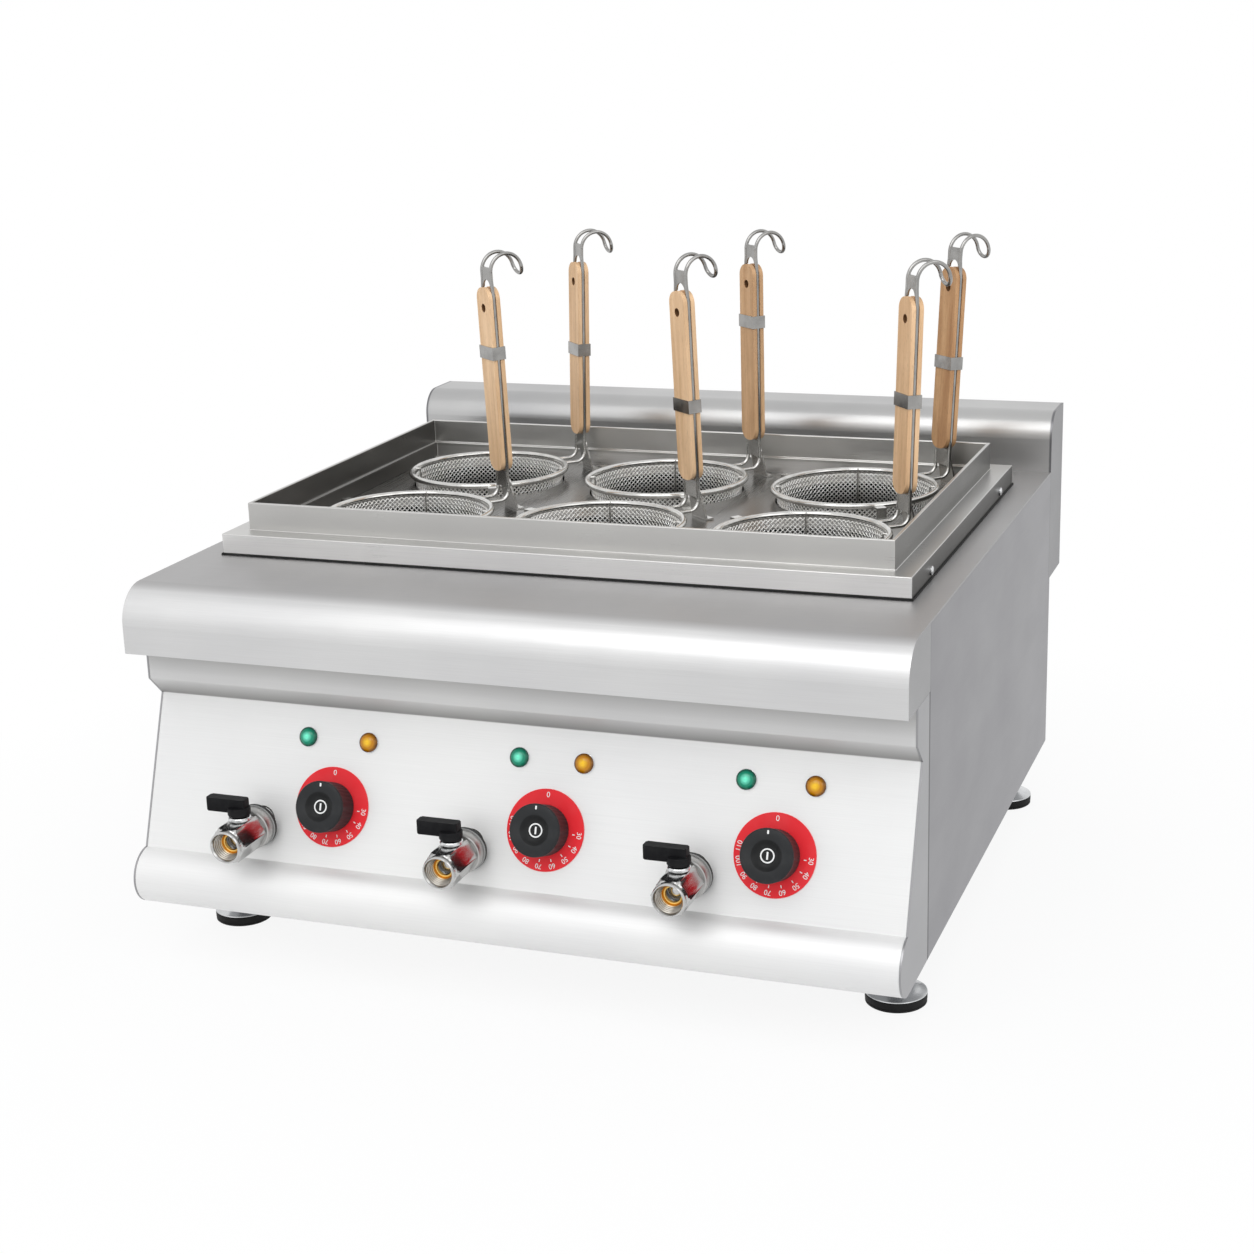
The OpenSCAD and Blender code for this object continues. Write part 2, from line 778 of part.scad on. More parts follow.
// Levelling foot: rubber sole, domed disc, neck and threaded stem
module foot(n) {
    color("silver") at_foot(n) {
        cylinder(h = sole_t, d = foot_d);
        translate([0, 0, sole_t]) cylinder(h = disc_t, d1 = foot_d, d2 = disc_top_d);
        translate([0, 0, sole_t]) cylinder(h = z_base - sole_t - slide_gap, d = neck_d);
        translate([0, 0, sole_t]) cylinder(h = z_base - sole_t + stem_in, d = foot_stem_d);
    }
}

// Place of a basket, at the middle of its ring
module at_basket(n) {
    translate([basket_x(n), basket_y(n), z_ring]) children();
}

// Place of a basket's handle: X out from the ring, Z up along the leaning rods
module at_handle(n) {
    at_basket(n) rotate([0, 0, handle_dir(n)]) translate([handle_r - rod_bend, 0, rod_bend])
        rotate([0, HANDLE_LEANS[n], 0]) translate([rod_bend, 0, 0]) children();
}

// Bend in a handle's wire, round the Z axis from the X axis
module wire_bend(radius, sweep, swell) {
    rotate_extrude(angle = sweep) translate([radius, 0]) circle(d = handle_wire + swell);
}

// Ring, ribs, rods, hook, webs, band and rests of one basket
module basket_frame(n) {
    z_grip = grip_lift - rod_bend;
    z_top = z_grip + grip_l;
    z_hook = z_top + neck_h;
    color("silver") {
        at_basket(n) {
            rotate_extrude() translate([ring_r, 0]) circle(d = ring_wire);
            for (turn = rib_turns) rotate([0, 0, turn]) rib();
            for (side = [-1, 1]) rotate([0, 0, handle_dir(n) + side * tab_turn]) rest_tab();
            rotate([0, 0, handle_dir(n)]) {
                for (side = [-1, 1]) translate([0, side * rod_gap / 2, 0]) {
                    bar([ring_r, 0, 0], [handle_r - rod_bend + wire_lap, 0, 0], handle_wire);
                    translate([handle_r - rod_bend, 0, rod_bend]) rotate([90, 0, 0]) rotate([0, 0, -90])
                        wire_bend(rod_bend, 90 - HANDLE_LEANS[n], bend_swell);
                }
                rest_leg();
            }
        }
        at_handle(n) {
            for (side = [-1, 1]) {
                rod(side, z_top, z_hook + wire_lap);
                translate([hook_r, side * neck_gap / 2, z_hook]) rotate([90, 0, 0])
                    rotate([0, 0, 180 - hook_sweep - hook_lap])
                        wire_bend(hook_r, hook_sweep + hook_lap, bend_swell);
            }
            translate([hook_r, 0, z_hook]) rotate([0, hook_sweep - 180, 0]) translate([hook_r, 0, 0])
                rotate([0, 90, 0]) rotate([0, 0, -90]) wire_bend(neck_gap / 2, 180, 2 * bend_swell);
            web(z_top, web_h, neck_gap);
            block([-web_t / 2, -rod_gap / 2, z_grip - low_web_h], [web_t / 2, rod_gap / 2, z_grip]);
            band(z_top - BAND_SHARES[n] * grip_l);
        }
    }
}

// One rod of a handle: along the grip's edge, then in to the neck and up to the hook
module rod(side, z_top, z_end) {
    edge = [0, side * rod_gap / 2, z_top - neck_in];
    neck = [0, side * neck_gap / 2, z_top + web_arch];
    bar([edge[0], edge[1], -wire_lap], edge, handle_wire);
    bar(edge, neck, handle_wire - bend_swell);
    bar(neck, [neck[0], neck[1], z_end], handle_wire);
    for (corner = [edge, neck]) translate(corner) sphere(d = handle_wire + bend_swell);
}

// Flat web between the rods, with an arch cut into its lower edge
module web(z, h, width) {
    translate([-web_t / 2, 0, z]) rotate([90, 0, 90]) linear_extrude(web_t) difference() {
        translate([-width / 2, 0]) square([width, h]);
        circle(r = web_arch);
    }
}

// Steel band round the grip, centred on a height
module band(z) {
    inner = [2 * slab_t + handle_wire + 4 * run_gap, grip_w + 2 * run_gap];
    translate([0, 0, z - band_h / 2]) linear_extrude(band_h) difference() {
        square([inner[0] + 2 * band_t, inner[1] + 2 * band_t], center = true);
        square(inner, center = true);
    }
    for (side = [-1, 1]) translate([0, side * rod_gap / 2, z])
        cube([handle_wire / 2, handle_wire + 2 * band_t, band_h], center = true);
}

// Rib wire that hooks over the ring and runs down inside the cup
module rib() {
    top = [cup_top_r - cup_t - rib_wire, 0, rib_wire];
    foot = [cup_base_r - cup_t - rib_wire, 0, -cup_depth + cup_t + rib_wire];
    bar([ring_r, 0, rib_wire / 2], [top[0] - rib_wire / 2, 0, rib_wire / 2], rib_wire + bend_swell);
    bar(top, foot, rib_wire);
}

// Bent tab that stands on the rack plate
module rest_tab() {
    low = rest_gap - ring_lift;
    reach = ring_r + tab_out;
    block([ring_r, -tab_w / 2, -web_t / 2], [reach, tab_w / 2, web_t / 2]);
    block([reach - web_t, -tab_w / 2, low], [reach, tab_w / 2, web_t / 2]);
    block([reach - web_t, -tab_w / 2, low], [reach + foot_flange / 2, tab_w / 2, low + web_t]);
}

// Sheet leg under the handle: a tongue with a round top, sloping out to a flange on the rack plate
module rest_leg() {
    low = rest_gap - ring_lift;
    top = grip_lift - leg_low;
    toe = handle_r + leg_spread;
    intersection() {
        rotate([90, 0, 0]) linear_extrude(2 * leg_w, center = true)
            polygon([[handle_r, top], [handle_r + web_t, top], [toe + web_t, low + web_t],
                     [toe + foot_flange, low + web_t], [toe + foot_flange, low], [toe, low], [toe, low + web_t]]);
        rotate([90, 0, 90]) linear_extrude(toe + 2 * foot_flange) {
            translate([0, top - leg_round]) circle(r = leg_round);
            polygon([[-leg_w / 2, low - over], [leg_w / 2, low - over],
                     [leg_neck / 2, top - leg_round], [-leg_neck / 2, top - leg_round]]);
        }
    }
}

// Tapered cup of woven wire, as a plain thin shell
module basket_cup(n) {
    taper = cup_top_r - cup_base_r;
    color("gray") at_basket(n) translate([0, 0, -cup_depth]) difference() {
        cylinder(h = cup_h, r1 = cup_base_r, r2 = cup_base_r + taper);
        translate([0, 0, cup_t])
            cylinder(h = cup_h, r1 = cup_base_r - cup_t, r2 = cup_base_r - cup_t + taper);
    }
}

// One wooden slab in outline, with rounded corners
module slab_outline() {
    x = grip_w / 2 - grip_corner;
    for (side = [-1, 1]) for (z = [grip_corner, grip_l - grip_corner])
        translate([side * x, z]) circle(grip_corner);
    translate([-grip_w / 2, grip_corner]) square([grip_w, grip_l - 2 * grip_corner]);
    translate([-x, 0]) square([2 * x, grip_l]);
}

// Two wooden slabs on either side of the rods, with the hanging hole through both
module basket_grip(n) {
    color("burlywood") at_handle(n) translate([0, 0, grip_lift - rod_bend]) difference() {
        for (x = [-handle_wire / 2 - run_gap - slab_t, handle_wire / 2 + run_gap])
            translate([x, 0, 0]) rotate([90, 0, 90]) linear_extrude(slab_t) slab_outline();
        translate([0, 0, grip_l - hole_down]) rotate([0, 90, 0])
            cylinder(h = 4 * slab_t, d = grip_hole_d, center = true);
    }
}

worktop();
left_side_panel();
right_side_panel();
left_cheek();
right_cheek();
control_panel();
base_pan();
rear_panel();
splashback();
tank_collar();
collar_screws();
rack_plate();
heaters();
thermostats();
sensor_bulbs();
dial_plates();
green_lenses();
amber_lenses();
lamp_holders();
drain_pipes();
valve_grommets();
terminal_block();
cable_gland();
for (i = [0 : 2]) {
    well(i);
    knob(i);
    valve_body(i);
    valve_ball(i);
    valve_lever(i);
}
for (n = [0 : 3]) foot(n);
for (n = [0 : 5]) {
    basket_frame(n);
    basket_cup(n);
    basket_grip(n);
}
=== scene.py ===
"""Looks of a countertop pasta cooker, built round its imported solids.

Sizes of shapes are in millimetres, and places in materials and of lights in metres.
"""

import math

import bmesh
import bpy
from mathutils import Matrix, Vector


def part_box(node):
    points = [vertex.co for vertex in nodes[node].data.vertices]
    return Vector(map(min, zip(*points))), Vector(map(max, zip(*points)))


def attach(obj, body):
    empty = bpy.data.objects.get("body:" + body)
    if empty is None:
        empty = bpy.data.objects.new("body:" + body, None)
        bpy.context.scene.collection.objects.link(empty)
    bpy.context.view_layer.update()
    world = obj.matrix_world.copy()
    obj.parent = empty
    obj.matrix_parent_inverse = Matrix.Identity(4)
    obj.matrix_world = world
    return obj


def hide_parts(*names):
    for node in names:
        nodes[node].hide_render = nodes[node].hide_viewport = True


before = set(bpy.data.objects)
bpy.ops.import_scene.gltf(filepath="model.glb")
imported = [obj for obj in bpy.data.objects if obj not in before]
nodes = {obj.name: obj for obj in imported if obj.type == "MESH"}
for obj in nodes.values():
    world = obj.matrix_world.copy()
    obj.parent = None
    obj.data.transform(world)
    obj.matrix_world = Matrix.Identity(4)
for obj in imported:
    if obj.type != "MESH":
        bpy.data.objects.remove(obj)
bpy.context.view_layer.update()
scene = bpy.context.scene
scene.view_settings.view_transform = "Standard"

MM = 0.001
SIDES = ("left", "middle", "right")
CORNERS = ("front_left", "front_right", "rear_left", "rear_right")
BASKETS = tuple(f"{row}_{side}" for row in ("front", "rear") for side in SIDES)

# Sizes that the part's source uses as well
LEAN = math.radians(20.5)
Y_PANEL = -234.0
Z_PANEL = 204.0
Z_LIP = 91.5
Z_RING = 313.5
PANEL_DRAWN = 120
PANEL_SHARE = (Z_PANEL - Z_LIP) / math.cos(LEAN) / PANEL_DRAWN
LAMP_AT = 23.5 * PANEL_SHARE
DIAL_AT = 74.0 * PANEL_SHARE
VALVE_AT = 90.5 * PANEL_SHARE
COLUMNS = (-172.5, 0.0, 172.5)
SPLIT = 29.0
LAMP_HALF_GAP = 25.2
Y_MOUTH = -322.0
Z_VALVE = Z_PANEL - VALVE_AT * math.cos(LEAN)
STEM_BACK = 25.0
LEVER_UP = 13.55
CUP_PLACES = tuple((x, y) for y in (-60.0, 104.0) for x in (-165.0, 0.0, 165.0))
HANDLE_R = 87.0
HANDLE_TURNS = (50.0, 50.0, 40.0, 43.0, 48.0, 47.0)
HANDLE_LEANS = (-2.0, -2.0, 2.0, 1.5, 0.0, 3.5)
ROD_BEND = 8.0
HOLE_UP = 150.0

# Photograph's camera: place in metres, turns in radians, lens for a 36 mm sensor
CAMERA_AT = (0.61098, -1.62545, 0.72302)
CAMERA_YAW = 0.36012
CAMERA_PITCH = -0.28672
CAMERA_ROLL = -0.03157
SENSOR_MM = 36.0
LENS_MM = 63.09

AMBIENT_TONE = (0.96, 0.98, 1.0, 1)
AMBIENT_STRENGTH = 0.8
FLOOR_TONE = (0.86, 0.86, 0.86, 1)
FLOOR_HALF = 6
FLOOR_NEAR = 0.3
FLOOR_FAR = 0.75
FLOOR_NEAR_GLOW = 0.88
WHITE = (1, 1, 1, 1)


def link(tree, *path):
    """Joins sockets in pairs: from, to, from, to."""
    for start, end in zip(path[::2], path[1::2]):
        tree.links.new(start, end)


def set_camera():
    """Puts the camera where the photograph was taken from."""
    yaw, pitch, roll = CAMERA_YAW, CAMERA_PITCH, CAMERA_ROLL
    ahead = Vector((-math.sin(yaw) * math.cos(pitch), math.cos(yaw) * math.cos(pitch), math.sin(pitch)))
    right = ahead.cross(Vector((0, 0, 1))).normalized()
    up = right.cross(ahead)
    tilted_right = right * math.cos(roll) + up * math.sin(roll)
    tilted_up = up * math.cos(roll) - right * math.sin(roll)
    data = bpy.data.cameras.new("camera")
    data.sensor_width = SENSOR_MM
    data.lens = LENS_MM
    camera = bpy.data.objects.new("camera", data)
    camera.matrix_world = Matrix((
        (tilted_right.x, tilted_up.x, -ahead.x, CAMERA_AT[0]),
        (tilted_right.y, tilted_up.y, -ahead.y, CAMERA_AT[1]),
        (tilted_right.z, tilted_up.z, -ahead.z, CAMERA_AT[2]),
        (0, 0, 0, 1),
    ))
    scene.collection.objects.link(camera)
    scene.camera = camera


def seen_by_rays(tree):
    """1 for camera, glossy and transmission rays, so that they meet the white background."""
    path = tree.nodes.new("ShaderNodeLightPath")
    first = tree.nodes.new("ShaderNodeMath")
    first.operation = "MAXIMUM"
    second = tree.nodes.new("ShaderNodeMath")
    second.operation = "MAXIMUM"
    link(tree, path.outputs["Is Camera Ray"], first.inputs[0],
         path.outputs["Is Glossy Ray"], first.inputs[1],
         first.outputs[0], second.inputs[0],
         path.outputs["Is Transmission Ray"], second.inputs[1])
    return second.outputs[0]


def set_world():
    """White background, with a softer even light on the object."""
    world = bpy.data.worlds.new("studio")
    scene.world = world
    world.use_nodes = True
    tree = world.node_tree
    tree.nodes.clear()
    ambient = tree.nodes.new("ShaderNodeBackground")
    ambient.inputs["Color"].default_value = AMBIENT_TONE
    ambient.inputs["Strength"].default_value = AMBIENT_STRENGTH
    white = tree.nodes.new("ShaderNodeBackground")
    white.inputs["Color"].default_value = WHITE
    white.inputs["Strength"].default_value = 1.0
    mix = tree.nodes.new("ShaderNodeMixShader")
    out = tree.nodes.new("ShaderNodeOutputWorld")
    link(tree, seen_by_rays(tree), mix.inputs["Fac"],
         ambient.outputs[0], mix.inputs[1],
         white.outputs[0], mix.inputs[2],
         mix.outputs[0], out.inputs["Surface"])


def area_light(name, spot, target, size, power):
    """Square softbox at a place, aimed at a target."""
    data = bpy.data.lights.new(name, "AREA")
    data.shape = "SQUARE"
    data.size = size
    data.energy = power
    lamp = bpy.data.objects.new(name, data)
    lamp.location = spot
    lamp.rotation_euler = (Vector(target) - Vector(spot)).to_track_quat("-Z", "Y").to_euler()
    scene.collection.objects.link(lamp)


def noise(tree, coords, scale, stretch=(1, 1, 1), detail=4.0, offset=(0, 0, 0)):
    """Noise in object space, stretched by a scale along each axis."""
    mapping = tree.nodes.new("ShaderNodeMapping")
    mapping.inputs["Scale"].default_value = stretch
    mapping.inputs["Location"].default_value = offset
    texture = tree.nodes.new("ShaderNodeTexNoise")
    texture.inputs["Scale"].default_value = scale
    texture.inputs["Detail"].default_value = detail
    link(tree, coords, mapping.inputs["Vector"], mapping.outputs["Vector"], texture.inputs["Vector"])
    return texture.outputs["Fac"]


def remap(tree, value, low, high, to_low, to_high):
    """Value brought from one range to another, and kept inside it."""
    node = tree.nodes.new("ShaderNodeMapRange")
    sockets = ("From Min", "From Max", "To Min", "To Max")
    for socket, number in zip(sockets, (low, high, to_low, to_high)):
        node.inputs[socket].default_value = number
    link(tree, value, node.inputs["Value"])
    return node.outputs["Result"]


def blend(tree, factor, first, second, kind="MIX"):
    """Mix of two colours, each a socket or a plain colour."""
    node = tree.nodes.new("ShaderNodeMix")
    node.data_type = "RGBA"
    node.blend_type = kind
    if isinstance(factor, float):
        node.inputs[0].default_value = factor
    else:
        link(tree, factor, node.inputs[0])
    for socket, colour in ((node.inputs[6], first), (node.inputs[7], second)):
        if isinstance(colour, tuple):
            socket.default_value = (*colour, 1)
        else:
            link(tree, colour, socket)
    return node.outputs[2]


def times(colour, amount):
    """Colour made lighter or darker."""
    return tuple(part * amount for part in colour)


def between(first, second, share):
    """Colour part of the way from one colour to another."""
    return tuple(a + (b - a) * share for a, b in zip(first, second))


def bump(tree, shader, height, strength, distance):
    """Fine relief on a shader."""
    node = tree.nodes.new("ShaderNodeBump")
    node.inputs["Strength"].default_value = strength
    node.inputs["Distance"].default_value = distance
    link(tree, height, node.inputs["Height"], node.outputs["Normal"], shader.inputs["Normal"])


def start_material(name, metallic=0.0):
    """New material with its tree, shader and object coordinates."""
    material = bpy.data.materials.new(name)
    material.use_nodes = True
    tree = material.node_tree
    shader = tree.nodes["Principled BSDF"]
    shader.inputs["Metallic"].default_value = metallic
    coords = tree.nodes.new("ShaderNodeTexCoord").outputs["Object"]
    return material, tree, shader, coords


def reach_along(tree, vector, axis):
    """Size of a vector along an axis, whichever way it points."""
    split = tree.nodes.new("ShaderNodeSeparateXYZ")
    size = tree.nodes.new("ShaderNodeMath")
    size.operation = "ABSOLUTE"
    link(tree, vector, split.inputs[0], split.outputs[axis], size.inputs[0])
    return size.outputs[0]


def facing(tree, axis):
    """1 on faces that are nearly square to an axis, 0 on the others."""
    normal = tree.nodes.new("ShaderNodeTexCoord").outputs["Normal"]
    return remap(tree, reach_along(tree, normal, axis), 0.6, 0.9, 0.0, 1.0)


def steel(name, colour, rough, stretch, brush=0.035, cloud=0.07, relief=0.04, zone=None, side_shade=None,
          wear=1.0):
    """Brushed steel: lines along the axis with the smallest stretch, clouds and a few wipe marks.

    A zone (axis, from, to, colour) gives the steel another tone past a place along an axis, either
    side of 0, the walls that face left and right can get a darker tone of painted shade, and wear spreads
    the roughness.
    """
    material, tree, shader, coords = start_material(name, 1.0)
    lines = noise(tree, coords, 1.0, stretch, 3.0)
    clouds = noise(tree, coords, 7.0, detail=3.0)
    wipes = noise(tree, coords, 26.0, (1, 0.4, 1), 5.0, (3, 1, 7))
    brushed = remap(tree, lines, 0.3, 0.7, 0.0, 1.0)
    base = blend(tree, brushed, times(colour, 1 - brush), times(colour, 1 + brush))
    if zone:
        axis, start, end, other = zone
        past = remap(tree, reach_along(tree, coords, axis), start, end, 0.0, 1.0)
        base = blend(tree, past, base, other)
    # painted shade: walls that face left and right get a darker tone
    if side_shade:
        base = blend(tree, facing(tree, "X"), base, side_shade)
    cloudy = (1 - cloud, 1 - cloud, 1 - 0.9 * cloud)
    shade = blend(tree, remap(tree, clouds, 0.35, 0.7, 0.0, 1.0), (1, 1, 1), cloudy)
    link(tree, blend(tree, 1.0, base, shade, "MULTIPLY"), shader.inputs["Base Color"])
    spread = blend(tree, 0.5, lines, wipes)
    roughness = remap(tree, spread, 0.3, 0.7, rough - 0.07 * wear, rough + 0.09 * wear)
    link(tree, roughness, shader.inputs["Roughness"])
    bump(tree, shader, lines, relief, 0.0002)
    return material


def polished(name, colour, rough, smudge=0.08, low=None):
    """Polished metal with finger marks and faint scratches.

    low (from, to, colour) is its tone below a height over the object's origin.
    """
    material, tree, shader, coords = start_material(name, 1.0)
    base = colour
    if low:
        start, end, other = low
        above = remap(tree, reach_along(tree, coords, "Z"), start, end, 0.0, 1.0)
        base = blend(tree, above, other, colour)
    marks = noise(tree, coords, 90.0, detail=6.0)
    scratches = noise(tree, coords, 1.0, (900, 120, 900), 2.0)
    smudged = times((1, 1, 1), 1 - smudge)
    shade = blend(tree, remap(tree, marks, 0.4, 0.7, 0.0, 1.0), (1, 1, 1), smudged)
    link(tree, blend(tree, 1.0, base, shade, "MULTIPLY"), shader.inputs["Base Color"])
    link(tree, remap(tree, marks, 0.35, 0.7, rough, rough + 0.1), shader.inputs["Roughness"])
    bump(tree, shader, scratches, 0.05, 0.0001)
    return material


def plastic(name, colour, rough, grain=900.0, relief=0.1, wear=0.25, specular=0.5, front=None):
    """Moulded plastic or rubber with a fine grain and dusty patches.

    front is a tone of painted light for the faces square to Y.
    """
    material, tree, shader, coords = start_material(name)
    fine = noise(tree, coords, grain, detail=2.0)
    patches = noise(tree, coords, 60.0, detail=4.0)
    dusty = tuple(part + (1 - part) * 0.06 for part in colour)
    base = blend(tree, remap(tree, patches, 0.42, 0.75, 0.0, wear), colour, dusty)
    # painted light: faces square to Y get the front tone
    if front:
        base = blend(tree, facing(tree, "Y"), base, front)
    link(tree, base, shader.inputs["Base Color"])
    link(tree, remap(tree, patches, 0.3, 0.7, rough - 0.06, rough + 0.08), shader.inputs["Roughness"])
    shader.inputs["Specular IOR Level"].default_value = specular
    bump(tree, shader, fine, relief, 0.0001)
    return material


def beech(name, light, dark, shift):
    """Bare beech: grain along Z, darker streaks and short flecks."""
    material, tree, shader, coords = start_material(name)
    bands = noise(tree, coords, 1.0, (150, 150, 7), 3.0, (shift, 2 * shift, shift))
    fibres = noise(tree, coords, 1.0, (900, 900, 30), 3.0, (shift, shift, 0))
    flecks = noise(tree, coords, 1.0, (1500, 1500, 190), 1.0, (0, shift, shift))
    stains = noise(tree, coords, 28.0, (1, 1, 0.6), 3.0, (shift, 0, shift))
    wood = blend(tree, remap(tree, bands, 0.3, 0.7, 0.0, 0.8), light, dark)
    wood = blend(tree, remap(tree, fibres, 0.35, 0.75, 0.0, 0.22), wood, times(dark, 0.8))
    wood = blend(tree, remap(tree, flecks, 0.6, 0.72, 0.0, 0.35), wood, times(dark, 0.62))
    wood = blend(tree, remap(tree, stains, 0.5, 0.75, 0.0, 0.35), wood, times(dark, 0.7))
    link(tree, wood, shader.inputs["Base Color"])
    link(tree, remap(tree, fibres, 0.3, 0.7, 0.42, 0.62), shader.inputs["Roughness"])
    bump(tree, shader, fibres, 0.25, 0.0002)
    return material


# Reaches in metres of a lens's painted glow at its middle and of its painted shade at the rim
PAINTED_GLOW_REACH = (0.0012, 0.0042)
RIM_SHADE_REACH = (0.005, 0.0068)


def lamp_lens(name, rim, body, glow):
    """Coloured lens with a painted glow at its middle and painted shade round its rim."""
    material, tree, shader, coords = start_material(name)
    flat = tree.nodes.new("ShaderNodeVectorMath")
    flat.operation = "MULTIPLY"
    flat.inputs[1].default_value = (1, 1, 0)
    length = tree.nodes.new("ShaderNodeVectorMath")
    length.operation = "LENGTH"
    link(tree, coords, flat.inputs[0], flat.outputs[0], length.inputs[0])
    cloud = noise(tree, coords, 500.0, detail=2.0)
    painted_glow = remap(tree, length.outputs["Value"], *PAINTED_GLOW_REACH, 1.0, 0.0)
    edge = remap(tree, length.outputs["Value"], *RIM_SHADE_REACH, 0.0, 1.0)
    colour = blend(tree, edge, blend(tree, painted_glow, body, glow), rim)
    colour = blend(tree, remap(tree, cloud, 0.4, 0.7, 0.0, 0.25), colour, body)
    link(tree, colour, shader.inputs["Base Color"])
    shader.inputs["Roughness"].default_value = 0.12
    shader.inputs["Coat Weight"].default_value = 0.25
    shader.inputs["Specular IOR Level"].default_value = 0.3
    bump(tree, shader, cloud, 0.1, 0.0002)
    return material


# Stretch of the brushed lines along an axis
ALONG_X = (18, 2400, 2400)
ALONG_Y = (2400, 18, 2400)

# Tones of the folded control panel, and the heights between which each one comes in; the riser's, the
# cove's and the one under the nose are painted shade, and the lip's is painted light
PANEL_TONE = (0.83, 0.827, 0.815)
RISER_SHADE_TONE = (0.68, 0.675, 0.665)
RISER_HEIGHTS = (0.2038, 0.2048)
COVE_SHADE_TONE = (0.34, 0.335, 0.325)
COVE_HEIGHTS = (0.206, 0.221)
NOSE_SHADOW_TONE = (0.36, 0.355, 0.345)
UNDER_HEIGHTS = (0.226, 0.24)
LIP_LIGHT_TONE = (0.84, 0.835, 0.825)
LIP_HEIGHTS = (0.0885, 0.0925)
LINE_TONE = (0.4, 0.4, 0.4)


def panel_metal():
    """Pale satin panel, with painted shade that makes its riser greyer and dark at its cove and under the
    nose, and painted light that makes its lip paler.
    """
    material, tree, shader, coords = start_material("panel_steel", 0.4)
    lines = noise(tree, coords, 1.0, ALONG_X, 3.0)
    clouds = noise(tree, coords, 5.0, detail=3.0)
    split = tree.nodes.new("ShaderNodeSeparateXYZ")
    link(tree, coords, split.inputs[0])
    height = split.outputs["Z"]
    # painted shade: the riser is greyer than the panel, and darker down into the cove and under the nose
    riser_shading = blend(tree, remap(tree, height, *COVE_HEIGHTS, 0.0, 1.0), COVE_SHADE_TONE, RISER_SHADE_TONE)
    riser_shading = blend(tree, remap(tree, height, *UNDER_HEIGHTS, 0.0, 0.6), riser_shading, NOSE_SHADOW_TONE)
    base = blend(tree, remap(tree, height, *RISER_HEIGHTS, 0.0, 1.0), PANEL_TONE, riser_shading)
    # painted light: the lip is paler than the panel
    base = blend(tree, remap(tree, height, *LIP_HEIGHTS, 1.0, 0.0), base, LIP_LIGHT_TONE)
    shade = blend(tree, remap(tree, clouds, 0.35, 0.7, 0.0, 1.0), (1, 1, 1), (0.93, 0.93, 0.94))
    base = blend(tree, 1.0, base, shade, "MULTIPLY")
    base = blend(tree, remap(tree, lines, 0.3, 0.7, 0.0, 0.06), base, LINE_TONE)
    link(tree, base, shader.inputs["Base Color"])
    link(tree, remap(tree, lines, 0.3, 0.7, 0.46, 0.56), shader.inputs["Roughness"])
    bump(tree, shader, lines, 0.06, 0.0002)
    return material


MESH_TONE = (0.98, 0.975, 0.96)
SCALE_TONE = (0.82, 0.8, 0.76)
# Painted shade deeper in a cup: its tone, and the depths below the rim between which it comes in
DEEP_SHADE_TONE = (0.24, 0.232, 0.22)
DEEP_SHADE_FROM = 0.013
DEEP_SHADE_TO = 0.024


def woven_wire():
    """Dull wire of the cups, with darker scale in places, and painted shade that darkens it below the rim.
    """
    material, tree, shader, coords = start_material("mesh_steel", 0.7)
    scale = noise(tree, coords, 45.0, detail=5.0)
    base = blend(tree, remap(tree, scale, 0.4, 0.68, 0.0, 1.0), MESH_TONE, SCALE_TONE)
    # painted shade: the wire darkens from a little below the rim downwards
    deep = remap(tree, reach_along(tree, coords, "Z"), DEEP_SHADE_FROM, DEEP_SHADE_TO, 0.0, 0.9)
    link(tree, blend(tree, deep, base, DEEP_SHADE_TONE), shader.inputs["Base Color"])
    link(tree, remap(tree, scale, 0.3, 0.7, 0.28, 0.45), shader.inputs["Roughness"])
    return material


# Zones of another tone: axis, from, to, colour
# painted light and shade: the deck above the nose gets a darker tone than the nose of the same sheet
DECK_SHADE_ZONE = ("Z", 0.2945, 0.2979, (0.42, 0.415, 0.415))
# painted shadow: a dark line at the cheek's rear edge, in the seam with the side panel
SEAM_SHADOW_ZONE = ("Y", 0.2165, 0.2155, (0.05, 0.05, 0.052))
# painted shade: the splashback's ends are darker
BACK_SHADED_ENDS = ("X", 0.2975, 0.2985, (0.2, 0.2, 0.208))
COLLAR_WALL = ("Z", 0.3135, 0.3155, (0.54, 0.535, 0.52))

# Zones of another tone below a height: from, to, colour
# painted light: the ring and the frame's lower wires are paler than the handle wires above
RING_LIGHT_ZONE = (0.336, 0.341, (0.66, 0.655, 0.635))
MOUTH_ZONE = (0.0088, 0.0106, (0.46, 0.44, 0.405))

# painted light and shade: the nose keeps a paler lit tone, and the deck and its faces that face left and
# right are darker
deck_steel = steel("deck_steel", (0.66, 0.66, 0.66), 0.42, ALONG_X, zone=DECK_SHADE_ZONE,
                   side_shade=(0.36, 0.36, 0.365))
# painted shade: the side panels and cheeks are darker copies of the same steel, for their faces towards the
# sides
shaded_side_steel = steel("shaded_side_steel", (0.25, 0.248, 0.262), 0.36, ALONG_Y, cloud=0.12, wear=0.5)
shaded_cheek_steel = steel("shaded_cheek_steel", (0.345, 0.345, 0.355), 0.36, ALONG_Y, cloud=0.04, wear=0.5,
                    zone=SEAM_SHADOW_ZONE)
back_steel = steel("back_steel", (0.5, 0.5, 0.495), 0.33, ALONG_X, brush=0.015, cloud=0.2,
                   relief=0.004, zone=BACK_SHADED_ENDS, wear=0.3)
# painted shade: the collar's walls that face left and right are darker
collar_steel = steel("collar_steel", (0.78, 0.775, 0.765), 0.32, ALONG_X, zone=COLLAR_WALL,
                     side_shade=(0.14, 0.137, 0.13))
